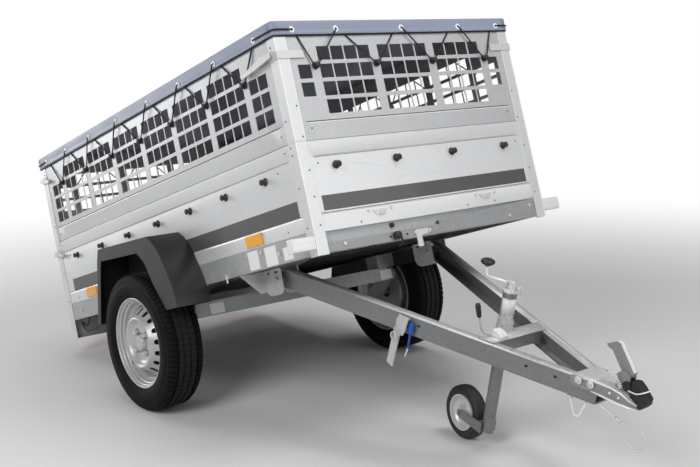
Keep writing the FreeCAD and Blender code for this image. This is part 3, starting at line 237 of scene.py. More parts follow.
def road_dust():
    """Grey dust that lies thicker near the ground."""
    tree, given, end = open_group(
        "Road Dust", "ShaderNodeTree",
        [VECTOR, COLOR, ("Dust", "Color", (0.30, 0.28, 0.25, 1)), ("Amount", "Float", 0.2), ("Reach", "Float", 0.7)],
        [COLOR[:2], ("Mask", "Float")])
    height = calc(tree, "DIVIDE", parts_of(tree, given["Vector"])[2], given["Reach"])
    patch = calc(tree, "MULTIPLY", calc(tree, "SUBTRACT", 1.0, height, clamp=True),
                 noise(tree, given["Vector"], 14.0, 5.0, 0.6))
    mask = calc(tree, "MULTIPLY", patch, given["Amount"], clamp=True)
    mix = put(tree, "ShaderNodeMix", {0: mask, 6: given["Color"], 7: given["Dust"]}, data_type="RGBA")
    deliver(tree, end, Color=mix.outputs[2], Mask=mask)
    return tree


def fine_grain():
    """Grain of moulded plastic and rubber."""
    tree, given, end = open_group(
        "Fine Grain", "ShaderNodeTree",
        [VECTOR, COLOR, ("Grains per Metre", "Float", 700.0), ("Mottle", "Float", 0.2)], [COLOR[:2], HEIGHT])
    fine = noise(tree, given["Vector"], given["Grains per Metre"])
    broad = calc(tree, "SUBTRACT", noise(tree, given["Vector"], 9.0, 4.0), 0.5)
    factor = calc(tree, "MULTIPLY_ADD", broad, given["Mottle"], 1.0)
    deliver(tree, end, Color=shade(tree, given["Color"], factor), Height=fine)
    return tree


def weave():
    """Crossing threads under a coat, read from the piece's own UV map."""
    tree, given, end = open_group(
        "Coated Weave", "ShaderNodeTree",
        [VECTOR, COLOR, ("Threads per Metre", "Float", 900.0), ("Soiling", "Float", 0.12)],
        [COLOR[:2], HEIGHT, ROUGHNESS])
    across = parts_of(tree, given["Vector"])
    threads = [calc(tree, "ABSOLUTE", calc(tree, "SINE", calc(tree, "MULTIPLY", across[k], given["Threads per Metre"])))
               for k in (0, 1)]
    cloth = calc(tree, "MAXIMUM", *threads)
    cloud = noise(tree, given["Vector"], 5.0, 5.0, 0.6)
    soil = calc(tree, "MULTIPLY", calc(tree, "SUBTRACT", cloud, 0.5), given["Soiling"])
    factor = calc(tree, "ADD", calc(tree, "MULTIPLY_ADD", cloth, 0.05, 0.97), soil)
    deliver(tree, end, Color=shade(tree, given["Color"], factor), Height=cloth,
            Roughness=calc(tree, "MULTIPLY_ADD", cloud, 0.2, 0.32))
    return tree


def twist():
    """Slanting strands round a wire or an elastic, read from its UV map."""
    tree, given, end = open_group(
        "Strand Twist", "ShaderNodeTree",
        [VECTOR, ("Color", "Color", (0.1, 0.1, 0.1, 1)), ("Turns", "Float", 60.0), ("Strands", "Float", 6.0),
         ("Depth", "Float", 0.4)], [COLOR[:2], HEIGHT])
    split = parts_of(tree, given["Vector"])
    along = calc(tree, "MULTIPLY", split[0], given["Turns"])
    around = calc(tree, "MULTIPLY", split[1], given["Strands"])
    phase = calc(tree, "MULTIPLY", calc(tree, "ADD", along, around), math.pi)
    ridge = calc(tree, "ABSOLUTE", calc(tree, "SINE", phase))
    valley = calc(tree, "MULTIPLY", calc(tree, "SUBTRACT", 1.0, ridge), given["Depth"])
    deliver(tree, end, Color=shade(tree, given["Color"], calc(tree, "SUBTRACT", 1.0, valley)), Height=ridge)
    return tree


# Materials

GROUPS = {}
FINISHES = {}


def new_finish(name, roughness, metallic=0.0, coat=0.0, specular=0.5):
    """Material with a Principled shader; returns it, its tree, the shader and the coordinates."""
    material = bpy.data.materials.new(name)
    material.use_nodes = True
    tree = material.node_tree
    tree.nodes.clear()
    skin = put(tree, "ShaderNodeBsdfPrincipled", {"Roughness": roughness, "Metallic": metallic,
                                                  "Coat Weight": coat, "Specular IOR Level": specular})
    put(tree, "ShaderNodeOutputMaterial", {0: skin.outputs[0]})
    return material, tree, skin, tree.nodes.new("ShaderNodeTexCoord").outputs


def use(tree, group, inputs):
    """Places a shader group and returns its outputs."""
    return put(tree, "ShaderNodeGroup", inputs, node_tree=GROUPS[group]).outputs


def dusted(tree, skin, place, colour, amount, reach=0.7):
    """Colour under road dust on the shader; returns the dust group's outputs."""
    film = use(tree, "dust", {"Vector": place["Object"], "Color": colour, "Amount": amount, "Reach": reach})
    tree.links.new(film["Color"], skin.inputs["Base Color"])
    return film


def bump(tree, skin, height, distance, strength=1.0):
    node = put(tree, "ShaderNodeBump", {"Distance": distance, "Strength": strength, "Height": height})
    tree.links.new(node.outputs[0], skin.inputs["Normal"])


def rgba(colour):
    """Colour of a shader socket from three numbers, or from one for a grey."""
    return (colour, colour, colour, 1.0) if isinstance(colour, float) else (*colour, 1.0)


def zinc_finish(name, colour, cells, bloom, roughness, metallic, dust, depth=0.00004):
    """Zinc-coated steel, bare or painted over."""
    material, tree, skin, place = new_finish(name, roughness, metallic)
    zinc = use(tree, "zinc", {"Vector": place["Object"], "Tone": rgba(colour), "Crystals per Metre": cells,
                              "Bloom": bloom, "Roughness": roughness})
    film = dusted(tree, skin, place, zinc["Color"], dust)
    tree.links.new(calc(tree, "MULTIPLY_ADD", film["Mask"], 0.4, zinc["Roughness"]), skin.inputs["Roughness"])
    bump(tree, skin, zinc["Height"], depth)
    return material


def grained(tree, place, colour, grains, mottle):
    return use(tree, "grain", {"Vector": place["Object"], "Color": rgba(colour), "Grains per Metre": grains,
                               "Mottle": mottle})


def moulded_finish(name, colour, roughness, grains, depth, mottle=0.2, dust=0.0, coat=0.0):
    """Plastic or rubber with a moulded grain."""
    material, tree, skin, place = new_finish(name, roughness, coat=coat)
    grain = grained(tree, place, colour, grains, mottle)
    dusted(tree, skin, place, grain["Color"], dust)
    bump(tree, skin, grain["Height"], depth)
    return material


def lens_finish(name, colour, cells):
    """Moulded lens with a grid of prisms behind a smooth face."""
    material, tree, skin, place = new_finish(name, 0.22, coat=0.6)
    prisms = put(tree, "ShaderNodeTexVoronoi", {"Randomness": 0.0, "Scale": cells, "Vector": place["Object"]},
                 distance="CHEBYCHEV").outputs["Distance"]
    grain = grained(tree, place, colour, 60.0, 0.12)
    depth = calc(tree, "MULTIPLY_ADD", prisms, -0.35, 1.08)
    tree.links.new(shade(tree, grain["Color"], depth), skin.inputs["Base Color"])
    bump(tree, skin, prisms, 0.0006, 0.5)
    return material


def tarp_finish(name, colour):
    """Coated cloth."""
    material, tree, skin, place = new_finish(name, 0.42, specular=0.4)
    cloth = use(tree, "weave", {"Vector": place["UV"], "Color": rgba(colour)})
    tree.links.new(cloth["Color"], skin.inputs["Base Color"])
    tree.links.new(cloth["Roughness"], skin.inputs["Roughness"])
    skin.inputs["Sheen Weight"].default_value = 0.15
    bump(tree, skin, cloth["Height"], 0.00025, 0.6)
    return material


def strand_finish(name, colour, turns, strands, depth, roughness, metallic=0.0):
    """Twisted wire or woven sleeve."""
    material, tree, skin, place = new_finish(name, roughness, metallic)
    strand = use(tree, "twist", {"Vector": place["UV"], "Color": rgba(colour), "Turns": turns, "Strands": strands,
                                 "Depth": depth})
    tree.links.new(strand["Color"], skin.inputs["Base Color"])
    bump(tree, skin, strand["Height"], 0.0004, 0.7)
    return material


def plywood_finish(name):
    """Dark film-faced plywood with its grain along Y."""
    material, tree, skin, place = new_finish(name, 0.55)
    turn = put(tree, "ShaderNodeMapping", {"Scale": (28.0, 2.2, 2.2), "Vector": place["Object"]})
    rings = noise(tree, turn.outputs[0], 1.6, 6.0, 0.6)
    ramp = put(tree, "ShaderNodeValToRGB", {0: rings})
    for stop, colour in zip(ramp.color_ramp.elements, ((0.10, 0.055, 0.03, 1), (0.24, 0.15, 0.09, 1))):
        stop.color = colour
    dusted(tree, skin, place, ramp.outputs[0], 0.3)
    bump(tree, skin, rings, 0.0003)
    return material


def tyre_finish(name):
    """Rubber with sipes across the ribs of the tread, painted dark as shade in the cuts; UV runs round and across."""
    material, tree, skin, place = new_finish(name, 0.66, specular=0.12)
    grain = grained(tree, place, (0.0085, 0.0085, 0.0088), 420.0, 0.5)
    around, across = parts_of(tree, place["UV"])[:2]
    cut = calc(tree, "LESS_THAN", calc(tree, "FRACT", calc(tree, "MULTIPLY_ADD", across, 0.9, around)), 0.09)
    middle = calc(tree, "LESS_THAN", calc(tree, "ABSOLUTE", calc(tree, "SUBTRACT", across, 0.5)), 0.23)
    # Sipes are painted darker, as painted shade in the cuts; the tread's middle is made lighter than its shoulders and
    # sides.
    sipe = calc(tree, "MULTIPLY", cut, middle)
    factor = calc(tree, "MULTIPLY_ADD", sipe, -1.3, calc(tree, "MULTIPLY_ADD", middle, 1.7, 0.6))
    dusted(tree, skin, place, shade(tree, grain["Color"], factor), 0.02, 1.2)
    bump(tree, skin, calc(tree, "MULTIPLY_ADD", sipe, -8.0, grain["Height"]), 0.00025)
    return material


def make_finishes(colours):
    """All materials, by the plain name that the pieces use."""
    GROUPS.update(zinc=zinc_bloom(), dust=road_dust(), grain=fine_grain(), weave=weave(), twist=twist())
    smooth = 0.00001
    kinds = {
        zinc_finish: {
            "sheet": ("wall_sheet", colours.sheet, 190.0, 0.05, 0.36, 0.35, 0.05),
            "zinc": ("hot_dip_zinc", colours.zinc, 85.0, 0.16, 0.48, 0.45, 0.12),
            "mesh": ("pierced_sheet", colours.mesh, 150.0, 0.07, 0.40, 0.4, 0.05),
            "bright": ("bright_zinc", 0.66, 260.0, 0.05, 0.38, 0.30, 0.04, smooth),
            "arm": ("arm_zinc", (0.24, 0.245, 0.25), 95.0, 0.14, 0.40, 0.5, 0.08),
            "cast": ("head_zinc", 0.30, 240.0, 0.06, 0.34, 0.5, 0.05, smooth),
            "polished": ("polished_zinc", (0.80, 0.80, 0.79), 220.0, 0.04, 0.28, 0.55, 0.03, smooth),
            "rail": ("rail_zinc", (0.46, 0.47, 0.48), 85.0, 0.16, 0.46, 0.45, 0.12),
            # Near-white finish of real bright parts, also used for films of painted highlight on bends, edges and beads
            "glint": ("bright_metal_and_painted_highlight", 0.93, 300.0, 0.03, 0.30, 0.15, 0.0, smooth),
            # Lighter copy of the zinc for faces that look up: painted light from above
            "painted_top_light": ("painted_top_light_zinc", (0.70, 0.71, 0.72), 95.0, 0.14, 0.42, 0.30, 0.08),
            "rivet": ("rivet_head", (0.22, 0.22, 0.23), 500.0, 0.05, 0.40, 0.6, 0.1),
            "rim": ("rim_paint", (0.56, 0.57, 0.58), 400.0, 0.03, 0.36, 0.35, 0.20)},
        moulded_finish: {
            # Dark finish of the walls' joint lines, also used for strips of painted shade above the beads
            "seam": ("seam_shade", (0.07, 0.07, 0.072), 0.7, 500.0, smooth),
            "plastic": ("hook_plastic", (0.018, 0.018, 0.019), 0.42, 900.0, 0.00004, 0.2, 0.05),
            "rubber": ("soft_rubber", (0.013, 0.013, 0.0135), 0.62, 700.0, 0.00006, 0.3, 0.06),
            "fender": ("fender_shell", colours.fender, 0.33, 1100.0, 0.00006, 0.15, 0.06),
            "stripe": ("stripe_film", colours.stripe, 0.38, 500.0, smooth, 0.05, 0.0, 0.2),
            "label": ("blank_label", (0.84, 0.85, 0.86), 0.4, 400.0, smooth, 0.05, 0.0, 0.1),
            "key": ("key_head", (0.006, 0.07, 0.42), 0.34, 500.0, 0.00002, 0.1, 0.0, 0.2),
            # Near-black finish for discs and cones of painted shade in holes and behind vents
            "hole": ("painted_hole_shade", 0.01, 0.9, 300.0, smooth)},
        strand_finish: {
            "wire": ("steel_strand", 0.90, 60.0, 6.0, 0.35, 0.35, 0.3),
            "elastic": ("elastic_sleeve", (0.016, 0.016, 0.017), 320.0, 8.0, 0.5, 0.7)},
        lens_finish: {
            "amber": ("amber_lens", colours.amber, 210.0),
            "red": ("red_lens", (0.45, 0.008, 0.006), 190.0),
            "white": ("white_lens", (0.88, 0.89, 0.90), 190.0)},
        tarp_finish: {"tarp": ("tarp_cloth", colours.tarp)},
        plywood_finish: {"plywood": ("floor_ply",)},
        tyre_finish: {"tyre": ("tyre_rubber",)},
    }
    for make, rows in kinds.items():
        for label, row in rows.items():
            FINISHES[label] = make(*row)


# Mesh helpers

LEVEL = {"box": BOX, "drawbar": BAR}


def sharpen(piece, angle):
    """Marks edges sharper than an angle in degrees."""
    piece.data.set_sharp_from_angle(angle=math.radians(angle))


def add_piece(name, source, finish, body, sharp=None, level=False, smooth=True):
    """Piece from a mesh or bmesh with one material, riding on a body. A level source is turned with its body."""
    mesh = source
    if isinstance(source, bmesh.types.BMesh):
        mesh = bpy.data.meshes.new(name)
        source.to_mesh(mesh)
        source.free()
    if level:
        mesh.transform(LEVEL.get(body, Matrix()))
    piece = bpy.data.objects.new(name, mesh)
    bpy.context.scene.collection.objects.link(piece)
    mesh.materials.clear()
    mesh.materials.append(FINISHES[finish])
    if smooth:
        shade_smooth(piece)
    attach(piece, body)
    if sharp is not None:
        sharpen(piece, sharp)
    return piece


def shade_smooth(piece):
    piece.data.polygons.foreach_set("use_smooth", [True] * len(piece.data.polygons))


def modify(piece, kind, **settings):
    """Makes one modifier part of a piece's mesh."""
    modifier = piece.modifiers.new(kind, kind)
    for name, value in settings.items():
        setattr(modifier, name, value)
    graph = bpy.context.evaluated_depsgraph_get()
    mesh = bpy.data.meshes.new_from_object(piece.evaluated_get(graph))
    old = piece.data
    piece.modifiers.clear()
    piece.data = mesh
    mesh.name = piece.name
    bpy.data.meshes.remove(old)


def dress(node, finish, edge=0.0008, segments=2, angle=32.0, flat=True, bend=0.0):
    """A CAD node's own shape with joined faces and softened edges, in place of the node.
    Where bend is given, sharp edges longer than a hand are rounded by that much."""
    source = frame["nodes"][node]
    shape = bmesh.new()
    shape.from_mesh(source.data)
    bmesh.ops.remove_doubles(shape, verts=shape.verts, dist=0.00002)
    if flat:
        bmesh.ops.dissolve_limit(shape, angle_limit=math.radians(0.6), verts=shape.verts, edges=shape.edges)
    if bend > 0:
        weights = shape.edges.layers.float.new("bevel_weight_edge")
        for line in shape.edges:
            if len(line.link_faces) == 2 and line.calc_face_angle_signed() > math.radians(angle):
                line[weights] = 1.0 if line.calc_length() > 0.15 else edge / bend
    piece = add_piece(node + "_finish", shape, finish, source["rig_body"], angle)
    if edge > 0:
        modify(piece, "BEVEL", width=max(edge, bend), segments=segments, angle_limit=math.radians(angle),
               limit_method="WEIGHT" if bend > 0 else "ANGLE", harden_normals=True, miter_outer="MITER_ARC")
    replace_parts(piece, node)
    return piece


def skin(source, name, finish, least, most, low):
    """Thin film over those faces of a drawbar piece that look up by between least and most
    and lie above a height of the level frame, in a lighter finish that paints the light falling on them."""
    shape = bmesh.new()
    shape.from_mesh(source.data)
    shape.transform(BAR.inverted())
    shape.normal_update()
    rest = [f for f in shape.faces if not least <= f.normal.z <= most or f.calc_center_median().z < low]
    bmesh.ops.delete(shape, geom=rest, context="FACES")
    shape.normal_update()
    for v in shape.verts:
        v.co += v.normal * 0.0003
    modify(add_piece(name, shape, finish, "drawbar", 35.0, True), "SOLIDIFY", thickness=FILM, offset=0.0)


def plate(name, outline, normal, thick, finish, body):
    """Thin plate: outline points in the level frame, pushed along its normal."""
    shape = bmesh.new()
    face = shape.faces.new([shape.verts.new(p) for p in outline])
    pushed = bmesh.ops.extrude_face_region(shape, geom=[face])
    ends = [v for v in pushed["geom"] if isinstance(v, bmesh.types.BMVert)]
    bmesh.ops.translate(shape, vec=normal * thick, verts=ends)
    bmesh.ops.recalc_face_normals(shape, faces=shape.faces)
    return add_piece(name, shape, finish, body, level=True, smooth=False)


def along_x(x0, x1, low, high):
    """Corners of a strip between two lines along X, each at a (y, z)."""
    return [(x0, *low), (x1, *low), (x1, *high), (x0, *high)]


def along_y(y0, y1, low, high):
    """Corners of a strip between two lines along Y, each at an (x, z)."""
    return [(x, y, z) for (x, z), ys in ((low, (y0, y1)), (high, (y1, y0))) for y in ys]


def lathe(profile, steps, centre, axis):
    """Closed profile of (along, radius) points turned about an axis, with UVs round and across."""
    shape = bmesh.new()
    layer = shape.loops.layers.uv.new("UVMap")
    side = axis.orthogonal().normalized()
    other = axis.cross(side)
    rings = []
    for k in range(steps):
        a = 2 * math.pi * k / steps
        out = side * math.cos(a) + other * math.sin(a)
        rings.append([shape.verts.new(centre + axis * along + out * radius) for along, radius in profile])
    low = min(p[0] for p in profile)
    high = max(p[0] for p in profile)
    for k in range(steps):
        n = (k + 1) % steps
        for i in range(len(profile)):
            j = (i + 1) % len(profile)
            face = shape.faces.new((rings[k][i], rings[k][j], rings[n][j], rings[n][i]))
            for loop, (turn, at) in zip(face.loops, ((k, i), (k, j), (k + 1, j), (k + 1, i))):
                loop[layer].uv = (turn / steps, (profile[at][0] - low) / (high - low))
    bmesh.ops.recalc_face_normals(shape, faces=shape.faces)
    return shape


# Geometry node trees

GEOMETRY = ("Geometry", "Geometry")
MATERIAL = ("Material", "Material")
FLAT_DISC = ((0.0, 1.0), (1.0, 1.0))


def close_tree(tree, geometry, given, end):
    """Realize Instances and Set Material at the end of a tree."""
    real = put(tree, "GeometryNodeRealizeInstances", {0: geometry})
    paint = put(tree, "GeometryNodeSetMaterial", {"Geometry": real.outputs[0], "Material": given["Material"]})
    tree.links.new(paint.outputs[0], end.inputs[0])
    return tree


def stand(tree, given, piece):
    """Stands a piece on each of the carrier's vertices, with Z along the vertex's stored direction."""
    points = put(tree, "GeometryNodeMeshToPoints", {0: given["Geometry"]})
    stored = put(tree, "GeometryNodeInputNamedAttribute", {"Name": "out"}, data_type="FLOAT_VECTOR")
    align = put(tree, "FunctionNodeAlignRotationToVector", {"Vector": stored.outputs["Attribute"]}, axis="Z")
    return put(tree, "GeometryNodeInstanceOnPoints", {"Points": points.outputs[0], "Instance": piece,
                                                      "Rotation": align.outputs[0]}).outputs[0]


def stud_tree(name, profile, around):
    """Studs turned from a profile of (share of length, share of radius), one on each carrier point.
    The profile starts with its two ends."""
    tree, given, end = open_group(name, "GeometryNodeTree", [GEOMETRY, ("Length", "Float", 0.02),
                                                             ("Radius", "Float", 0.014), MATERIAL], [GEOMETRY])
    top = put(tree, "ShaderNodeCombineXYZ", {2: given["Length"]})
    spine = put(tree, "GeometryNodeCurvePrimitiveLine", {"End": top.outputs[0]})
    steps = put(tree, "GeometryNodeResampleCurve", {"Count": 28, 0: spine.outputs[0]})
    along = put(tree, "GeometryNodeSplineParameter")
    shape = put(tree, "ShaderNodeFloatCurve", {"Value": along.outputs["Factor"]})
    points = shape.mapping.curves[0].points
    for point, place in zip(points, profile[:2]):
        point.location = place
    for place in profile[2:]:
        points.new(*place)
    for point in points:
        point.handle_type = "VECTOR"
    shape.mapping.update()
    ring = put(tree, "GeometryNodeCurvePrimitiveCircle", {"Resolution": around, "Radius": 1.0})
    solid = put(tree, "GeometryNodeCurveToMesh", {
        "Fill Caps": True, "Curve": steps.outputs[0], "Profile Curve": ring.outputs[0],
        "Scale": calc(tree, "MULTIPLY", shape.outputs[0], given["Radius"])})
    return close_tree(tree, stand(tree, given, solid.outputs[0]), given, end)


def ring_tree():
    """Pressed eyelets: a round ring laid flat on each carrier point."""
    tree, given, end = open_group("Eyelet Rings", "GeometryNodeTree", [GEOMETRY, ("Radius", "Float", 0.0095),
                                                                       ("Rim", "Float", 0.0026), MATERIAL], [GEOMETRY])
    middle = calc(tree, "SUBTRACT", given["Radius"], given["Rim"])
    loop = put(tree, "GeometryNodeCurvePrimitiveCircle", {"Resolution": 24, "Radius": middle})
    bead = put(tree, "GeometryNodeCurvePrimitiveCircle", {"Resolution": 10, "Radius": given["Rim"]})
    solid = put(tree, "GeometryNodeCurveToMesh", {"Curve": loop.outputs[0], "Profile Curve": bead.outputs[0]})
    flat = put(tree, "GeometryNodeScaleInstances", {0: stand(tree, given, solid.outputs[0]), "Scale": (1, 1, 0.55),
                                                    "Local Space": True})
    return close_tree(tree, flat.outputs[0], given, end)


def strand_tree():
    """Round strand swept along the carrier's curves, with UVs along and around."""
    tree, given, end = open_group("Swept Strand", "GeometryNodeTree", [GEOMETRY, ("Radius", "Float", 0.0022),
                                                                       MATERIAL], [GEOMETRY])

    def keep(geometry, label, value, kind="FLOAT", domain="POINT"):
        return put(tree, "GeometryNodeStoreNamedAttribute", {0: geometry, "Name": label, "Value": value},
                   data_type=kind, domain=domain).outputs[0]

    def read(label):
        return put(tree, "GeometryNodeInputNamedAttribute", {"Name": label}, data_type="FLOAT").outputs["Attribute"]

    share = put(tree, "GeometryNodeSplineParameter").outputs
    ring = put(tree, "GeometryNodeCurvePrimitiveCircle", {"Resolution": 10, "Radius": given["Radius"]})
    solid = put(tree, "GeometryNodeCurveToMesh", {
        "Fill Caps": True, "Curve": keep(given["Geometry"], "along", share["Length"]),
        "Profile Curve": keep(ring.outputs[0], "around", share["Factor"])})
    pair = put(tree, "ShaderNodeCombineXYZ", {0: read("along"), 1: read("around")})
    mapped = keep(solid.outputs[0], "UVMap", pair.outputs[0], "FLOAT2", "CORNER")
    return close_tree(tree, mapped, given, end)


def grow(name, tree, carrier, finish, body, slot=None, sharp=35.0, **values):
    """Runs a tree on a carrier in the level frame and keeps the result as a plain mesh."""
    bpy.context.scene.collection.objects.link(carrier)
    modifier = carrier.modifiers.new(tree.name, "NODES")
    modifier.node_group = tree
    values["Material"] = FINISHES[finish]
    for item in tree.interface.items_tree:
        if item.item_type == "SOCKET" and item.in_out == "INPUT" and item.name in values:
            modifier[item.identifier] = values[item.name]
    graph = bpy.context.evaluated_depsgraph_get()
    mesh = bpy.data.meshes.new_from_object(carrier.evaluated_get(graph))
    bpy.data.objects.remove(carrier)
    mesh.name = name
    return add_piece(name, mesh, finish, body, sharp, True)


def points_at(spots):
    """Carrier mesh of points; spots are (place, outward direction)."""
    mesh = bpy.data.meshes.new("carrier")
    mesh.from_pydata([tuple(p) for p, _ in spots], [], [])
    store = mesh.attributes.new("out", "FLOAT_VECTOR", "POINT")
    for k, (_, out) in enumerate(spots):
        store.data[k].vector = out
    return bpy.data.objects.new("carrier", mesh)


def curves_along(runs, kind="POLY", resolution=8, name="carrier"):
    """Curves through runs of points."""
    data = bpy.data.curves.new(name, "CURVE")
    data.dimensions = "3D"
    for run in runs:
        spline = data.splines.new(kind)
        spline.points.add(len(run) - 1)
        for point, place in zip(spline.points, run):
            point.co = (*place, 1.0)
        if kind == "NURBS":
            spline.order_u = 3
            spline.use_endpoint_u = True
            spline.resolution_u = resolution
    return bpy.data.objects.new(name, data)


# Places shared by several pieces

def on_sides(x, places):
    """Spots that face outward on both sides, x from the middle, at places (y, z)."""
    return [(Vector((sign * x, y, z)), out) for _, sign, out in SIDES for y, z in places]


def on_end(y, out, places):
    """Spots that face ahead or back, at places (x, z)."""
    return [(Vector((x, y, z)), out) for x, z in places]


def hook_rows(height, behind):
    """Hook places round the box at a height, with the rear row where there is one."""
    ends = [(k * HOOK_PITCH, height) for k in (-1.5, -0.5, 0.5, 1.5)]
    spots = on_sides(WALL_X, [(BODY_LENGTH / 2 + k * HOOK_PITCH, height) for k in range(-3, 4)])
    return spots + on_end(SHEET, AHEAD, ends) + (on_end(FAR, BACK, ends) if behind else [])


def arm_line(y):
    """Distance of an arm's outer face from the middle at a given Y."""
    nose_x, nose_y, rear_x, rear_y = 0.038, -0.715, 0.394, 0.470
    return nose_x + (y - nose_y) / (rear_y - nose_y) * (rear_x - nose_x)


def window_spans(length, groups, spare):
    """Windows of a pierced wall as (start, end, low, high) along a wall of the given length."""
    rows = [WINDOW_LOW + k * ROW_PITCH for k in range(4)]
    pitch = WINDOW_WIDE + WINDOW_BAR
    group = 4 * pitch - WINDOW_BAR
    spans = []
    for g in range(groups):
        start = length / 2 + (g - (groups - 1) / 2) * HOOK_PITCH - group / 2
        spans += [(start + c * pitch, z) for c in range(4) for z in rows]
    last = length / 2 + (groups - 1) / 2 * HOOK_PITCH + group / 2
    odd = rows[:3] if spare > 1 else rows[1:3]
    for c in range(spare):
        start = last + HOOK_PITCH - group + c * pitch
        spans += [(at, z) for at in (start, length - start - WINDOW_WIDE) for z in odd]
    return [(at, at + WINDOW_WIDE, z, z + WINDOW_HIGH) for at, z in spans]


def pierced_wall(node, low, high, windows, fold, place, out):
    """Pierced sheet with folded edges and a fold line: place(u, z) is on its outer face."""
    us = sorted({round(v, 5) for w in windows for v in w[:2]} | {low, high, *fold})
    zs = sorted({round(v, 5) for w in windows for v in w[2:]}
                | {MESH_LOW, UPPER_TOP, FOLD_Z - 0.003, FOLD_Z, FOLD_Z + 0.003})
    shape = bmesh.new()
    grid = {}
    for u in us:
        for z in zs:
            pressed = 0.0015 if z == FOLD_Z and fold[0] < u < fold[1] else 0.0
            grid[u, z] = shape.verts.new(place(u, z) - out * pressed)
    for a, b in zip(us, us[1:]):
        for c, d in zip(zs, zs[1:]):
            mu, mz = (a + b) / 2, (c + d) / 2
            if not any(w[0] < mu < w[1] and w[2] < mz < w[3] for w in windows):
                shape.faces.new((grid[a, c], grid[b, c], grid[b, d], grid[a, d]))
    ring = [grid[u, zs[0]] for u in us[:-1]] + [grid[us[-1], z] for z in zs[:-1]]
    ring += [grid[u, zs[-1]] for u in us[:0:-1]] + [grid[us[0], z] for z in zs[:0:-1]]
    deep = [shape.verts.new(v.co - out * MESH_DEPTH) for v in ring]
    for k, vert in enumerate(ring):
        n = (k + 1) % len(ring)
        shape.faces.new((vert, ring[n], deep[n], deep[k]))
    bmesh.ops.recalc_face_normals(shape, faces=shape.faces)
    shape.faces.ensure_lookup_table()
    if shape.faces[0].normal.dot(out) < 0:
        bmesh.ops.reverse_faces(shape, faces=shape.faces)
    piece = add_piece(node + "_pierced", shape, "mesh", "box", level=True, smooth=False)
    modify(piece, "SOLIDIFY", thickness=SHEET, offset=-1.0)
    modify(piece, "BEVEL", width=0.0006, segments=2, limit_method="ANGLE", angle_limit=math.radians(50))
    sharpen(piece, 22)
    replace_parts(piece, node)


# Operators

class TRAILER_OT_windows(bpy.types.Operator):
    """Pierce the upper walls with their rows of windows"""

    bl_idname = "trailer.windows"
    bl_label = "Window Walls"

    def execute(self, context):
        windows = window_spans(BODY_LENGTH, 6, 2)
        fold = (FOLD_END, BODY_LENGTH - FOLD_END)
        for side, sign, out in SIDES:
            pierced_wall("mesh_panel_" + side, SHEET, FAR, windows, fold,
                         lambda u, z, x=sign * WALL_X: Vector((x, u, z)), out)
        windows = [(a - BODY_HALF, b - BODY_HALF, c, d) for a, b, c, d in window_spans(2 * BODY_HALF, 3, 1)]
        fold = (-BODY_HALF + FOLD_END, BODY_HALF - FOLD_END)
        half = WALL_X - MESH_DEPTH - 0.0003
        for end, out, y in (("front", AHEAD, SHEET), ("rear", BACK, FAR)):
            pierced_wall("mesh_panel_" + end, -half, half, windows, fold, lambda u, z, y=y: Vector((u, y, z)), out)
        return {"FINISHED"}


class TRAILER_OT_walls(bpy.types.Operator):
    """Finish the lower walls, the tailboard and the posts"""

    bl_idname = "trailer.walls"
    bl_label = "Walls"

    def execute(self, context):
        edge = context.scene.trailer_sizes.sheet_bend
        for node in ("side_panel_left", "side_panel_right", "front_panel", "tailboard", "corner_posts"):
            dress(node, "sheet", edge, angle=12.0)
        return {"FINISHED"}


class TRAILER_OT_chassis(bpy.types.Operator):
    """Finish the chassis, axle, brackets, beams, arms and floor"""

    bl_idname = "trailer.chassis"
    bl_label = "Chassis"

    def execute(self, context):
        for node, finish in (("end_beams", "zinc"), ("axle", "zinc"), ("pivot_brackets", "bright"),
                             ("chassis", "rail")):
            dress(node, finish, 0.0009)
        arms = dress("drawbar", "arm", 0.0008, 4, bend=0.006)
        # Films on the arms in lighter finishes: painted highlight on the bends and painted light on the tops
        skin(arms, "arm_bends_painted_highlight", "glint", 0.20, 0.985, ARM_TOP - 0.0070)
        skin(arms, "arm_tops_painted_light", "painted_top_light", 0.985, 1.1, ARM_TOP - 0.0010)
        holes = [(Vector((sign * (arm_line(y) - 0.0022), y, ARM_TOP - 0.025)), out)
                 for y in (-0.580, -0.482, -0.095) for _, sign, out in SIDES]
        grow("arm_hole_shades", stud_tree("Arm Holes", FLAT_DISC, 18), points_at(holes), "hole", "drawbar",
             None, 30.0, Length=0.0010, Radius=0.0053)
        dress("floor", "plywood", 0.0005)
        dress("latches", "bright", 0.0004)
        return {"FINISHED"}


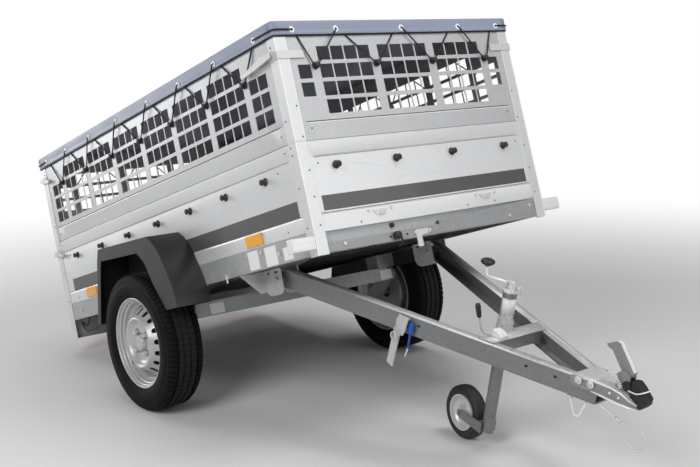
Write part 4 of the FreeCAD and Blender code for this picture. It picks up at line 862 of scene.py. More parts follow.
class TRAILER_OT_tarp(bpy.types.Operator):
    """Make the flat tarp with its skirt and hem"""

    bl_idname = "trailer.tarp"
    bl_label = "Tarp"

    def execute(self, context):
        half_x = BODY_HALF + TARP_OUT
        y0 = -TARP_OUT
        y1 = BODY_LENGTH + TARP_OUT
        top = UPPER_TOP + 0.0034
        inset = 0.012
        columns = 46
        rows = 86
        pull_pitch = 0.27
        sag = context.scene.trailer_sizes.tarp_sag
        shape = bmesh.new()
        grid = []
        for j in range(rows + 1):
            y = y0 + inset + (y1 - y0 - 2 * inset) * j / rows
            line = []
            for i in range(columns + 1):
                x = -half_x + inset + (2 * half_x - 2 * inset) * i / columns
                side = min(1.0, (half_x - abs(x)) / 0.25)
                end = min(1.0, min(y - y0, y1 - y) / 0.25)
                hang = sag * math.sin(side * math.pi / 2) * math.sin(end * math.pi / 2)
                pull = 0.0011 * math.sin(y * 2 * math.pi / pull_pitch + 1.0) * math.exp(-(half_x - abs(x)) / 0.12)
                drift = 0.0012 * math.sin(3.1 * x + 2.3 * y) * math.sin(5.7 * y - 1.3 * x)
                line.append(shape.verts.new((x, y, top - hang + (pull + drift) * min(1.0, hang / 0.004))))
            grid.append(line)
        for near, far in zip(grid, grid[1:]):
            for i in range(columns):
                shape.faces.new((near[i], near[i + 1], far[i + 1], far[i]))
        border = grid[0][:-1] + [line[-1] for line in grid[:-1]] + grid[-1][:0:-1] + [line[0] for line in grid[:0:-1]]
        steps = ((0.006, 0.0002), (0.0095, 0.0012), (0.0112, 0.0030), (0.012, 0.0058), (0.0123, 0.012),
                 (0.0122, 0.022), (0.0120, 0.032), (0.0121, 0.036), (0.0127, 0.0368), (0.0128, 0.048),
                 (0.0124, 0.0492))
        ring = border
        for out, down in steps:
            fresh = []
            for vert in border:
                x, y, z = vert.co
                dx = -1 if x < -half_x + inset + 1e-6 else (1 if x > half_x - inset - 1e-6 else 0)
                dy = -1 if y < y0 + inset + 1e-6 else (1 if y > y1 - inset - 1e-6 else 0)
                push = out
                if dx and dy:
                    push *= 1 - 0.008 / inset * 0.29
                else:
                    along = y if dx else x
                    push += 0.0011 * math.sin(along * 2 * math.pi / pull_pitch + 0.6) * min(1.0, down / 0.045)
                fresh.append(shape.verts.new((x + dx * push, y + dy * push, top - down)))
            for k in range(len(ring)):
                n = (k + 1) % len(ring)
                shape.faces.new((ring[n], ring[k], fresh[k], fresh[n]))
            ring = fresh
        bmesh.ops.recalc_face_normals(shape, faces=shape.faces)
        layer = shape.loops.layers.uv.new("UVMap")
        for face in shape.faces:
            for loop in face.loops:
                x, y, z = loop.vert.co
                beside = math.copysign(top - z, x) if abs(x) > half_x - inset else 0.0
                loop[layer].uv = (x + beside, y)
        piece = add_piece("tarp_cloth", shape, "tarp", "box", level=True)
        modify(piece, "SOLIDIFY", thickness=0.0013, offset=-1.0)
        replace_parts(piece, "tarp")
        return {"FINISHED"}


class TRAILER_OT_eyelets(bpy.types.Operator):
    """Set the pressed eyelets in the tarp's skirt"""

    bl_idname = "trailer.eyelets"
    bl_label = "Eyelets"

    def execute(self, context):
        gap = TARP_OUT + 0.0018
        ends = [(x, EYELET_Z) for x in FRONT_EYELETS]
        spots = on_sides(BODY_HALF + gap, [(y, EYELET_Z) for y in SIDE_EYELETS])
        spots += on_end(-gap, AHEAD, ends) + on_end(BODY_LENGTH + gap, BACK, ends)
        radius = context.scene.trailer_sizes.eyelet
        grow("tarp_eyelets", ring_tree(), points_at(spots), "glint", "box", "zinc", Radius=radius, Rim=radius * 0.30)
        # Dark discs inside the eyelets paint the shade in their holes
        grow("eyelet_hole_shades", stud_tree("Eyelet Hole Shades", FLAT_DISC, 16),
             points_at([(p - out * 0.0015, out) for p, out in spots]), "hole", "box", None, 30.0,
             Length=0.0006, Radius=radius * 0.6)
        return {"FINISHED"}


class TRAILER_OT_lacing(bpy.types.Operator):
    """Lace the elastic from the tarp's eyelets to the hooks"""

    bl_idname = "trailer.lacing"
    bl_label = "Lacing"

    def hook_bend(self, at, out, along):
        """Points down beside a hook's neck, round its underside and up again."""
        neck = 0.0098
        ends = [at + along * (side * 0.0105) + UP * 0.004 + out * 0.008 for side in (-1, 1)]
        turns = [math.pi + math.pi * k / 8 for k in range(9)]
        bend = [at + along * (neck * math.cos(a)) + UP * (neck * math.sin(a)) + out * 0.0085 for a in turns]
        return [ends[0], *bend, ends[1]]

    def wall_runs(self, corner, out, along, hooks):
        """Strands of one wall: from an eyelet to the skirt's edge, round the hook, and up again.
        Each end has its place along the wall and whether it passes over the skirt or behind it."""
        share = (EYELET_Z - HEM_Z) / (EYELET_Z - TARP_HOOK_Z)

        def by_skirt(s, z, over, more=0.0):
            depth = TARP_OUT + 0.0041 if over else -0.0003
            return corner + along * s + UP * z + out * (depth + more)

        runs = []
        for (before, over_before), hook, (after, over_after) in hooks:
            arrive = before + (hook - 0.008 - before) * share
            leave = after + (hook + 0.008 - after) * share
            bend = self.hook_bend(corner + along * hook + UP * TARP_HOOK_Z - out * SHEET, out, along)
            runs.append([by_skirt(before, EYELET_Z, over_before), by_skirt(arrive, HEM_Z, over_before, 0.0002), *bend,
                         by_skirt(leave, HEM_Z, over_after, 0.0002), by_skirt(after, EYELET_Z, over_after)])
        return runs

    def execute(self, context):
        side_hooks = []
        for k in range(7):
            hook = BODY_LENGTH / 2 + (k - 3) * HOOK_PITCH
            before = SIDE_EYELETS[k] + (0.012 if k == 0 else 0.004)
            side_hooks.append(((before, k > 0), hook, (SIDE_EYELETS[k + 1] - 0.012, False)))
        a, b, c, d, e = FRONT_EYELETS
        front_hooks = [((a + 0.011, False), -0.402, (b, True)), ((b + 0.019, False), -0.134, (c - 0.024, False)),
                       ((c, True), 0.134, (d - 0.034, False)), ((d, True), 0.402, (e - 0.022, False))]
        runs = self.wall_runs(Vector(), AHEAD, RIGHT, front_hooks)
        runs += self.wall_runs(BACK * BODY_LENGTH, BACK, RIGHT, front_hooks)
        gap = TARP_OUT + 0.0042
        for (_, sign, out), near in zip(SIDES, (a, e)):
            runs += self.wall_runs(out * BODY_HALF, out, BACK, side_hooks)
            x = sign * (BODY_HALF + gap)
            for y0, y1, step in ((-gap, SIDE_EYELETS[0], 0.012), (BODY_LENGTH + gap, SIDE_EYELETS[-1], -0.012)):
                runs.append([(near, y0, EYELET_Z), (sign * (BODY_HALF - 0.012), y0, EYELET_Z + 0.001),
                             (x - sign * 0.004, y0 + step * 0.33, EYELET_Z), (x, y0 + step * 1.6, EYELET_Z - 0.001),
                             (x, y1, EYELET_Z)])
        ease = 0.004
        wide = BODY_HALF + 0.0026
        low = -0.0026
        high = BODY_LENGTH + 0.0026
        hem = [(0, low), (wide - ease, low), (wide, low + ease), (wide, high - ease), (wide - ease, high),
               (ease - wide, high), (-wide, high - ease), (-wide, low + ease), (ease - wide, low), (-0.001, low)]
        runs.append([(x, y, HEM_Z - 0.0003) for x, y in hem])
        grow("tarp_lacing", strand_tree(), curves_along(runs), "elastic", "box", "black_plastic", 60.0,
             Radius=context.scene.trailer_sizes.lacing / 2)
        return {"FINISHED"}


class TRAILER_OT_hooks(bpy.types.Operator):
    """Turn the tarp hooks and the rubber hooks"""

    bl_idname = "trailer.hooks"
    bl_label = "Hooks"

    def execute(self, context):
        tree = stud_tree("Turned Hooks", ((0.0, 1.0), (1.0, 0.55), (0.10, 1.0), (0.24, 0.72), (0.42, 0.52),
                                          (0.58, 0.52), (0.70, 0.72), (0.84, 0.78), (0.95, 0.68)), 20)
        for name, node, height, radius, length, behind in (
                ("lacing_hooks", "tarp_hooks", TARP_HOOK_Z, 0.0135, 0.0205, True),
                ("wall_hooks", "rubber_hooks", RUBBER_HOOK_Z, 0.0145, 0.0215, False)):
            piece = grow(name, tree, points_at(hook_rows(height, behind)), "plastic", "box", "black_plastic", 50.0,
                         Length=length, Radius=radius)
            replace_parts(piece, node)
        return {"FINISHED"}


def tread_profile(groove):
    """Profile of the tyre from the left bead over the tread to the right bead, as (across, radius)."""
    side = [(-0.0652, 0.1785), (-0.0718, 0.1830), (-0.0748, 0.1905), (-0.0752, 0.1965), (-0.0766, 0.1985),
            (-0.0782, 0.2100), (-0.0785, 0.2235), (-0.0783, 0.2315), (-0.0770, 0.2330), (-0.0766, 0.2430),
            (-0.0748, 0.2535), (-0.0712, 0.2612), (-0.0665, 0.2668), (-0.0605, 0.2706), (-0.0560, 0.2716)]
    top = []
    for centre in (-0.0425, -0.0142, 0.0142, 0.0425):
        for shift, drop in ((-0.0048, 0.0), (-0.0034, groove), (0.0034, groove), (0.0048, 0.0)):
            x = centre + shift
            top.append((x, TYRE_RADIUS - 0.0002 - 0.0017 * (x / 0.056) ** 2 - drop))
    return side + top + [(-x, r) for x, r in reversed(side)]


def tyre_shape(centre, groove):
    """Tyre with grooves round it and notches across its ribs and shoulders."""
    profile = tread_profile(groove)
    pitches = 78
    notch = ((0.0, 0), (0.30, 0), (0.34, 1), (0.50, 1), (0.54, 0))
    shape = bmesh.new()
    layer = shape.loops.layers.uv.new("UVMap")
    rings = []
    for turn, cut in [(2 * math.pi * (k + share) / pitches, cut) for k in range(pitches) for share, cut in notch]:
        ring = []
        for x, r in profile:
            shoulder = max(0.0, min(1.0, (abs(x) - 0.049) / 0.004)) * max(0.0, min(1.0, (r - 0.2560) / 0.004))
            rib = 0.4 if abs(x) < 0.048 and r > TYRE_RADIUS - 0.003 else 0.0
            low = r - groove * 0.9 * max(shoulder, rib) * cut
            a = turn + 0.55 * x
            ring.append(shape.verts.new(centre + Vector((x, low * math.cos(a), low * math.sin(a)))))
        rings.append(ring)
    total = len(rings)
    for k in range(total):
        n = (k + 1) % total
        for i in range(len(profile)):
            j = (i + 1) % len(profile)
            face = shape.faces.new((rings[k][i], rings[k][j], rings[n][j], rings[n][i]))
            for loop, (turn, at) in zip(face.loops, ((k, i), (k, j), (k + 1, j), (k + 1, i))):
                loop[layer].uv = (turn / total * pitches, profile[at][0] / 0.157 + 0.5)
    bmesh.ops.recalc_face_normals(shape, faces=shape.faces)
    return shape


def rim_disc(centre, sign):
    """Pressed wheel disc with a ring of round vents, as an open skin."""
    outer = [(0.010, 0.1406), (0.0145, 0.1398), (0.0185, 0.1372)]
    inner = [(0.0585, 0.1058), (0.0625, 0.1035), (0.0665, 0.1005), (0.0685, 0.0975), (0.0685, 0.0945),
             (0.0660, 0.0905), (0.0610, 0.0860), (0.0560, 0.0820), (0.0520, 0.0770), (0.0495, 0.0700),
             (HUB_FACE, 0.0620), (HUB_FACE, 0.0345), (0.0500, 0.0322), (0.0600, 0.0308), (0.0632, 0.0285),
             (0.0645, 0.0190), (0.0650, 0.0040)]
    vents = 16
    cell = 8
    total = vents * cell
    shape = bmesh.new()

    def at(a, r, turn):
        return shape.verts.new(centre + Vector((sign * a, r * math.cos(turn), r * math.sin(turn))))

    def stack(profile):
        """Rings of a profile joined into a skin."""
        rings = [[at(a, r, 2 * math.pi * k / total) for k in range(total)] for a, r in profile]
        for one, two in zip(rings, rings[1:]):
            for k in range(total):
                n = (k + 1) % total
                shape.faces.new((one[k], one[n], two[n], two[k]))
        return rings

    edge_out = stack(outer)[-1]
    edge_in, *_, cap = stack(inner)
    shape.faces.new(cap)
    (out_x, out_r), (in_x, in_r) = outer[-1], inner[0]
    middle = (out_r + in_r) / 2
    for v in range(vents):
        first = v * cell
        loop = [edge_in[(first + k) % total] for k in range(cell + 1)]
        loop += [edge_out[(first + k) % total] for k in range(cell, -1, -1)]
        vent_turn = 2 * math.pi * (first + cell / 2) / total
        hole = []
        for vert in loop:
            place = vert.co - centre
            turn = math.atan2(place.z, place.y) - vent_turn
            turn = (turn + math.pi) % (2 * math.pi) - math.pi
            rise = math.hypot(place.y, place.z) - middle
            heading = math.atan2(rise / 0.0157, turn * middle / 0.0239)
            r = middle + 0.0122 * math.sin(heading)
            x = out_x + (out_r - r) / (out_r - in_r) * (in_x - out_x) - 0.0012
            hole.append(at(x, r, vent_turn + 0.0146 * math.cos(heading) / middle))
        for k, vert in enumerate(loop):
            n = (k + 1) % len(loop)
            shape.faces.new((vert, loop[n], hole[n], hole[k]))
    bmesh.ops.recalc_face_normals(shape, faces=shape.faces)
    top = max(shape.faces, key=lambda f: sign * (f.calc_center_median().x - centre.x))
    if top.normal.x * sign < 0:
        bmesh.ops.reverse_faces(shape, faces=shape.faces)
    return shape


class TRAILER_OT_wheels(bpy.types.Operator):
    """Make the road tyres with their tread, the pressed rims and the hubs"""

    bl_idname = "trailer.wheels"
    bl_label = "Wheels"

    def execute(self, context):
        groove = context.scene.trailer_sizes.groove
        barrel = [(0.0665, 0.1815), (0.0688, 0.1800), (0.0692, 0.1768), (0.0672, 0.1744), (0.0625, 0.1735),
                  (0.0590, 0.1728), (0.0582, 0.1690), (0.0560, 0.1668), (0.0500, 0.1662), (0.0460, 0.1655),
                  (0.0450, 0.1612), (0.0425, 0.1590), (0.0340, 0.1582), (0.0280, 0.1560), (0.0230, 0.1500),
                  (0.0140, 0.1425), (0.0020, 0.1408), (-0.0380, 0.1408), (-0.0480, 0.1470), (-0.0540, 0.1600),
                  (-0.0600, 0.1680), (-0.0660, 0.1722), (-0.0695, 0.1765), (-0.0690, 0.1800)]
        shell = barrel + [(a - 0.0010 if a > 0.06 else (a + 0.0012 if a < -0.06 else a), r + 0.0026)
                          for a, r in reversed(barrel[1:-1])]
        recess = ((0.0484, 0.0335), (0.0491, 0.0335), (0.0491, 0.0385), (0.0484, 0.0385))
        cone = ((0.0, 0.1345), (0.0440, 0.0990), (0.0430, 0.0965), (-0.0030, 0.1325))
        drum = ((-0.046, 0.030), (-0.046, 0.098), (-0.040, 0.104), (-0.014, 0.104), (-0.010, 0.098), (-0.009, 0.030))
        valve = ((0.0, 0.0006), (0.0, 0.0054), (0.010, 0.0046), (0.019, 0.0038), (0.021, 0.0028), (0.026, 0.0028),
                 (0.026, 0.0006))
        cups = stud_tree("Bolt Cups", FLAT_DISC, 24)
        bolts = stud_tree("Wheel Bolts", ((0.0, 1.35), (1.0, 0.75), (0.16, 1.3), (0.2, 0.95), (0.88, 0.92)), 6)
        for side, sign, out in SIDES:
            body = "wheel_" + side
            centre = Vector((sign * WHEEL_X, WHEEL.y, WHEEL.z))
            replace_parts(add_piece("tyre_" + side + "_tread", tyre_shape(centre, groove), "tyre", body, 40),
                        "tyre_" + side)
            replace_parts(add_piece("rim_" + side + "_barrel", lathe(shell, 112, centre, out), "rim", body, 50),
                        "rim_" + side)
            disc = add_piece("rim_" + side + "_disc", rim_disc(centre, sign), "rim", body)
            modify(disc, "SOLIDIFY", thickness=0.0035, offset=-1.0)
            sharpen(disc, 42)
            turns = [math.radians(45 + 90 * k) for k in range(4)]
            spots = [(centre + Vector((sign * HUB_FACE, 0.050 * math.cos(a), 0.050 * math.sin(a))), out)
                     for a in turns]
            grow("bolt_cups_" + side, cups, points_at(spots), "rivet", body, "zinc", 30.0,
                 Length=0.0006, Radius=0.0142)
            add_piece("hub_shade_" + side, lathe(recess, 48, centre, out), "rivet", body)
            grow("wheel_bolts_" + side, bolts, points_at(spots), "bright", body, "zinc", 30.0,
                 Length=0.016, Radius=0.0092)
            add_piece("vent_shade_" + side, lathe(cone, 64, centre, out), "hole", body)
            add_piece("hub_" + side, lathe(drum, 64, centre, out), "zinc", body, 35)
            seat = centre + Vector((sign * 0.018, 0.104, -0.104))
            add_piece("valve_" + side, lathe(valve, 14, seat, out), "rubber", body)
        return {"FINISHED"}


class TRAILER_OT_fenders(bpy.types.Operator):
    """Finish the moulded fenders and set the dark skirts behind them"""

    bl_idname = "trailer.fenders"
    bl_label = "Fenders"

    def execute(self, context):
        arch = ((-1.294, 0.362), (-1.294, 0.523), (-1.265, 0.669), (-1.192, 0.870), (-1.082, 1.126), (-1.002, 1.247),
                (-0.910, 1.345), (-0.782, 1.426), (0.782, 1.495), (0.899, 1.291), (0.998, 1.035), (1.276, 0.391))
        unit = 0.2695
        for side, sign, out in SIDES:
            dress("fender_" + side, "fender", 0.005, 4, 22.0)
            outline = [(sign * 0.5480, 1.094 + a * unit, -0.163 + b * unit) for a, b in arch]
            plate("fender_skirt_" + side, outline, out, 0.0015, "rubber", "box")
        return {"FINISHED"}


class TRAILER_OT_bands(bpy.types.Operator):
    """Lay the dark bands and blank labels on the walls, rails and axle"""

    bl_idname = "trailer.bands"
    bl_label = "Bands and Labels"

    def execute(self, context):
        at = WALL_X + FILM_GAP
        for side, sign, out in SIDES:
            plate("side_band_" + side, along_y(0.062, 1.936, (sign * at, 0.1325), (sign * at, 0.187)), out, FILM,
                  "stripe", "box")
        front = SHEET - FILM_GAP
        plate("front_band", along_x(-0.489, 0.489, (front, 0.1378), (front, 0.1888)), AHEAD, FILM, "stripe", "box")
        for k, (y0, y1, z0, z1) in enumerate(((0.145, 0.200, 0.008, 0.052), (0.240, 0.313, 0.003, 0.070),
                                              (0.356, 0.423, 0.005, 0.0715))):
            plate("rail_label_%d" % k, along_y(y0, y1, (-at, z0), (-at, z1)), LEFT, FILM, "label", "box")
        beam = 0.974 - 0.029 - FILM_GAP
        for k, (x0, x1) in enumerate(((-0.436, -0.371), (0.453, 0.520))):
            plate("axle_label_%d" % k, along_x(x0, x1, (beam, -0.112), (beam, -0.070)), AHEAD, FILM, "label", "box")
        return {"FINISHED"}


class TRAILER_OT_beads(bpy.types.Operator):
    """Line the pressed beads of the walls with painted shade above them and painted highlights below them"""

    bl_idname = "trailer.beads"
    bl_label = "Beads"

    def strips(self, name, finish, quads):
        """Thin films on the walls, each given by its four corners."""
        shape = bmesh.new()
        for corners in quads:
            shape.faces.new([shape.verts.new(p) for p in corners])
        piece = add_piece(name, shape, finish, "box", level=True, smooth=False)
        modify(piece, "SOLIDIFY", thickness=0.0003, offset=0.0)

    def execute(self, context):
        gap = 0.0001
        end = 0.062
        beads = ((0.319, 0.0042, 0.0022, 0.0028, end, 0.488), (0.131, 0.0011, 0.0062, 0.0028, end - 0.012, 0.500),
                 (FOLD_Z, 0.0031, 0.0031, 0.0014, end, 0.488))
        shaded = []
        painted_highlights = []
        # Each bead gets a dark strip of painted shade above it and a light strip of painted highlight below it
        for z, up, down, deep, y0, half in beads:
            for sign in (-1, 1):
                inner = (sign * (WALL_X - deep), z)
                outer = sign * (WALL_X + gap)
                shaded.append(along_y(y0, BODY_LENGTH - y0, inner, (outer, z + up)))
                painted_highlights.append(along_y(y0, BODY_LENGTH - y0, (outer, z - down), inner))
            inner = (SHEET + deep, z)
            outer = SHEET - gap
            shaded.append(along_x(-half, half, inner, (outer, z + up)))
            painted_highlights.append(along_x(-half, half, (outer, z - down), inner))
        low, high = 0.3746, 0.3758
        front = SHEET - 2 * gap
        seams = [along_x(-0.504, 0.504, (front, low), (front, high))]
        # Light strips of painted highlight along the posts' corners and the upper posts' inner edges
        corners = []
        top = UPPER_TOP - 0.050
        for sign in (-1, 1):
            x = sign * (WALL_X + 2 * gap)
            seams.append(along_y(POST_EDGE, BODY_LENGTH - POST_EDGE, (x, low), (x, high)))
            x = sign * BODY_HALF
            beside = x + sign * gap
            for z0, z1 in ((-0.005, 0.374), (0.376, top)):
                corners.append(along_x(x, x - sign * 0.0034, (-gap, z0), (-gap, z1)))
                corners.append(along_y(0.0, 0.0016, (beside, z0), (beside, z1)))
            x = sign * (BODY_HALF - POST_EDGE)
            corners.append(along_x(x, x + sign * 0.0028, (-gap, 0.378), (-gap, top)))
        self.strips("corner_painted_highlights", "glint", corners)
        self.strips("bead_shades", "seam", shaded)
        self.strips("bead_painted_highlights", "glint", painted_highlights)
        self.strips("wall_seams", "seam", seams)
        return {"FINISHED"}


class TRAILER_OT_lamps(bpy.types.Operator):
    """Finish the lamps, the reflectors and the plug"""

    bl_idname = "trailer.lamps"
    bl_label = "Lamps"

    def execute(self, context):
        dress("reflectors", "amber", 0.0012, 3)
        dress("front_lamps", "white", 0.0015, 3)
        dress("rear_lamps", "red", 0.0015, 3)
        dress("plug", "plastic", 0.0004, 2, 40.0, False)
        return {"FINISHED"}


class TRAILER_OT_coupling(bpy.types.Operator):
    """Finish the pressed head, lever, bumper, wires and the tipping lock"""

    bl_idname = "trailer.coupling"
    bl_label = "Coupling"

    def execute(self, context):
        head = dress("coupling_head", "cast", 0.0018, 3, 22.0)
        # Lighter film on the head's top faces: painted light from above
        skin(head, "head_top_painted_light", "painted_top_light", 0.90, 1.1, ARM_TOP - 0.0300)
        dress("coupling_lever", "cast", 0.0012, 3, 35.0)
        # A light film of painted highlight along the lever's spine
        spine = ((-0.8106, 0.0735), (-0.7445, 0.1445), (-0.7320, 0.1465), (-0.6980, 0.1262))
        for k, (one, two) in enumerate(zip(spine, spine[1:])):
            out = Vector((0, one[1] - two[1], two[0] - one[0])).normalized()
            plate("lever_spine_painted_highlight_%d" % k, along_x(-0.0085, 0.0085, one, two), out, 0.0006, "glint", "drawbar")
        ribs = [(at + k * 0.0084, r) for k in range(5) for at, r in (
            (-0.021, 0.0135), (-0.0202, 0.0155), (-0.0160, 0.0155), (-0.0152, 0.0135))]
        collar = lathe([(-0.021, 0.004), *ribs, (0.021, 0.004)], 28, BAR @ Vector((0, -0.801, 0.028)), RIGHT)
        add_piece("catch_collar", collar, "rubber", "drawbar")
        dress("coupling_bumper", "rubber", 0.0045, 4, 18.0)
        dress("wire_forms", "glint", 0.0, flat=False)
        dress("tip_lock", "bright", 0.0006, 2, 40.0)
        self.keys()
        self.bolts()
        return {"FINISHED"}

    def bolts(self):
        """Washers and bolts through the arms, bright strands of painted highlight along the head's lip and crown, the
        head's rivets, and its catch's spring.
        """
        washers = [(Vector((sign * (arm_line(y) + 0.0108), y, -0.006)), out)
                   for y in (-0.659, -0.698) for _, sign, out in SIDES]
        flat = stud_tree("Head Washers", ((0.0, 1.0), (1.0, 0.92), (0.8, 1.0)), 22)
        hexes = stud_tree("Head Bolts", ((0.0, 1.0), (1.0, 0.86), (0.85, 1.0)), 6)
        grow("head_washers", flat, points_at(washers), "glint", "drawbar", "zinc", 35.0, Length=0.0022, Radius=0.0125)
        grow("head_bolts", hexes, points_at([(p + out * 0.002, out) for p, out in washers]), "bright", "drawbar",
             "zinc", 30.0, Length=0.0075, Radius=0.0088)
        # The lip and crown strands are painted highlights along the head's rolled edges
        lip = [(0.0506, -0.640), (0.0486, -0.700), (0.0475, -0.718), (0.0448, -0.757), (0.0408, -0.795),
               (0.0340, -0.828), (0.0215, -0.851), (0.0085, -0.8555)]
        crown = [(0.0475, -0.655, 0.0010), (0.0468, -0.690, 0.0040), (0.0345, -0.757, 0.0055),
                 (0.0305, -0.795, 0.0025), (0.0245, -0.827, -0.0098), (0.0130, -0.847, -0.0185),
                 (0.0050, -0.8495, -0.0185)]
        runs = [[(-x, y, z) for x, y, z in half] + half[::-1] for half in ([(*p, -0.0282) for p in lip], crown)]
        grow("head_edge_painted_highlights", strand_tree(), curves_along(runs), "glint", "drawbar", "zinc", 60.0, Radius=0.0028)
        rivets = on_sides(0.0362, [(-0.760, -0.010)]) + on_sides(0.0335, [(-0.792, -0.012)])
        grow("head_rivets", hexes, points_at(rivets), "glint", "drawbar", "zinc", 30.0, Length=0.003, Radius=0.0046)
        start = Vector((-0.0225, -0.750, 0.056))
        axis = Vector((-0.0225, -0.786, 0.016)) - start
        up = axis.normalized().cross(RIGHT)
        steps = 12
        total = 7 * steps
        coil = []
        for k in range(total + 1):
            a = 2 * math.pi * k / steps
            coil.append(start + axis * (k / total) + (RIGHT * math.cos(a) + up * math.sin(a)) * 0.0065)
        grow("catch_spring", strand_tree(), curves_along([coil]), "glint", "drawbar", "zinc", 60.0, Radius=0.0015)

    def keys(self):
        """Blue cap over the lock, its strap and the bare key."""
        y = -0.078
        x = -arm_line(y) - 0.013

        def outline(at, points):
            """Points measured from the lock's middle and the arm's top."""
            return [(at, y + dy, ARM_TOP + dz) for dy, dz in points]

        rim = []
        for k in range(28):
            c, d = [math.copysign(abs(v) ** 0.8, v)
                    for v in (math.cos(2 * math.pi * k / 28), math.sin(2 * math.pi * k / 28))]
            rim.append((0.0118 * c, 0.0205 * d - 0.0375))
        head = plate("key_cap", outline(x + 0.0048, rim), LEFT, 0.0098, "key", "drawbar")
        modify(head, "BEVEL", width=0.0028, segments=3, limit_method="ANGLE", angle_limit=math.radians(50))
        shade_smooth(head)
        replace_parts(head, "lock_keys")
        strap = ((-0.005, -0.056), (0.003, -0.056), (0.004, -0.098), (0.007, -0.113), (-0.006, -0.113),
                 (-0.003, -0.098))
        plate("key_strap", outline(x, strap), LEFT, 0.003, "key", "drawbar")
        blade = ((-0.003, -0.111), (0.004, -0.111), (0.0125, -0.146), (0.008, -0.148), (0.002, -0.128))
        plate("key_blade", outline(x - 0.001, blade), LEFT, 0.0018, "polished", "drawbar")
        peg = ((0.0, 0.0004), (0.0, 0.004), (0.013, 0.004), (0.013, 0.0004))
        add_piece("key_peg", lathe(peg, 14, BAR @ Vector((x - 0.001, y, ARM_TOP - 0.030)), RIGHT),
                  "bright", "drawbar")


class TRAILER_OT_jockey(bpy.types.Operator):
    """Finish the jockey wheel, its tubes, crank and clamp"""

    bl_idname = "trailer.jockey"
    bl_label = "Jockey Wheel"

    def execute(self, context):
        dress("jockey_outer", "polished", 0.0005, 2, 40.0, False)
        shape = bmesh.new()
        steps = 24
        radius = 0.0243
        turns = [math.radians(-55 + 165 * k / steps) for k in range(steps + 1)]
        low, high = [[shape.verts.new((-radius * math.sin(a), JOCKEY_Y - radius * math.cos(a), z)) for a in turns]
                     for z in (0.055, 0.111)]
        for k in range(steps):
            shape.faces.new((low[k], low[k + 1], high[k + 1], high[k]))
        bmesh.ops.recalc_face_normals(shape, faces=shape.faces)
        label = add_piece("tube_label", shape, "label", "drawbar", level=True)
        modify(label, "SOLIDIFY", thickness=FILM, offset=0.0)
        dress("jockey_clamp", "bright", 0.0006, 2, 40.0)
        outline = [(-0.092, y, ARM_TOP + 0.0032 + rise)
                   for y, rise in ((-0.350, 0), (-0.350, 0.012), (-0.338, 0.022), (-0.306, 0.026), (-0.298, 0))]
        saddle = plate("clamp_saddle", outline, RIGHT, 0.034, "glint", "drawbar")
        modify(saddle, "BEVEL", width=0.004, segments=3, harden_normals=True)
        centre = BAR @ Vector((0, JOCKEY_Y, 0))
        for name, z0, z1, radius, finish in (("tube_collar", ARM_TOP + 0.009, 0.030, 0.0285, "bright"),
                                             ("tube_band", 0.113, 0.131, 0.0246, "arm")):
            profile = ((z0, 0.0241), (z0, radius - 0.0003), (z0 + 0.001, radius), (z1 - 0.001, radius),
                       (z1, radius - 0.0003), (z1, 0.0241))
            add_piece(name, lathe(profile, 48, centre, BAR.to_3x3() @ UP), finish, "drawbar")
        dress("jockey_crank", "glint", 0.0, flat=False)
        dress("jockey_grips", "plastic", 0.0, angle=45.0, flat=False)
        dress("jockey_inner", "arm", 0.0005, 2, 40.0, False)
        dress("jockey_fork", "arm", 0.0008, 2, 40.0)
        dress("jockey_tyre", "rubber", 0.0, angle=50.0, flat=False)
        dress("jockey_rim", "bright", 0.0, angle=35.0, flat=False)
        return {"FINISHED"}


class TRAILER_OT_cable(bpy.types.Operator):
    """Hang the breakaway cable with its loop and ferrule"""

    bl_idname = "trailer.cable"
    bl_label = "Breakaway Cable"

    def execute(self, context):
        route = ((-0.012, -0.708, -0.075), (-0.006, -0.746, -0.086), (0.0, -0.784, -0.101), (0.004, -0.812, -0.137),
                 (0.004, -0.832, -0.163), (0.004, -0.866, -0.169), (0.002, -0.893, -0.145), (0.0, -0.898, -0.107),
                 (-0.003, -0.868, -0.091), (-0.005, -0.828, -0.093), (-0.006, -0.790, -0.094))
        places = [BAR @ Vector(p) for p in route]
        cable = curves_along([places], "NURBS", 12, "breakaway_cable_strand")
        cable.data.bevel_depth = 0.0025
        cable.data.bevel_resolution = 4
        cable.data.use_fill_caps = True
        cable.data.materials.append(FINISHES["wire"])
        context.scene.collection.objects.link(cable)
        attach(cable, "drawbar")
        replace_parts(cable, "breakaway_cable")
        profile = ((-0.011, 0.0001), (-0.011, 0.0044), (-0.009, 0.0052), (0.009, 0.0052), (0.011, 0.0044),
                   (0.011, 0.0001))
        shape = lathe(profile, 18, BAR @ Vector((-0.003, -0.785, -0.0975)),
                      (BAR.to_3x3() @ Vector((0, -0.92, -0.38))).normalized())
        ferrule = add_piece("cable_ferrule", shape, "bright", "drawbar")
        return {"FINISHED"}


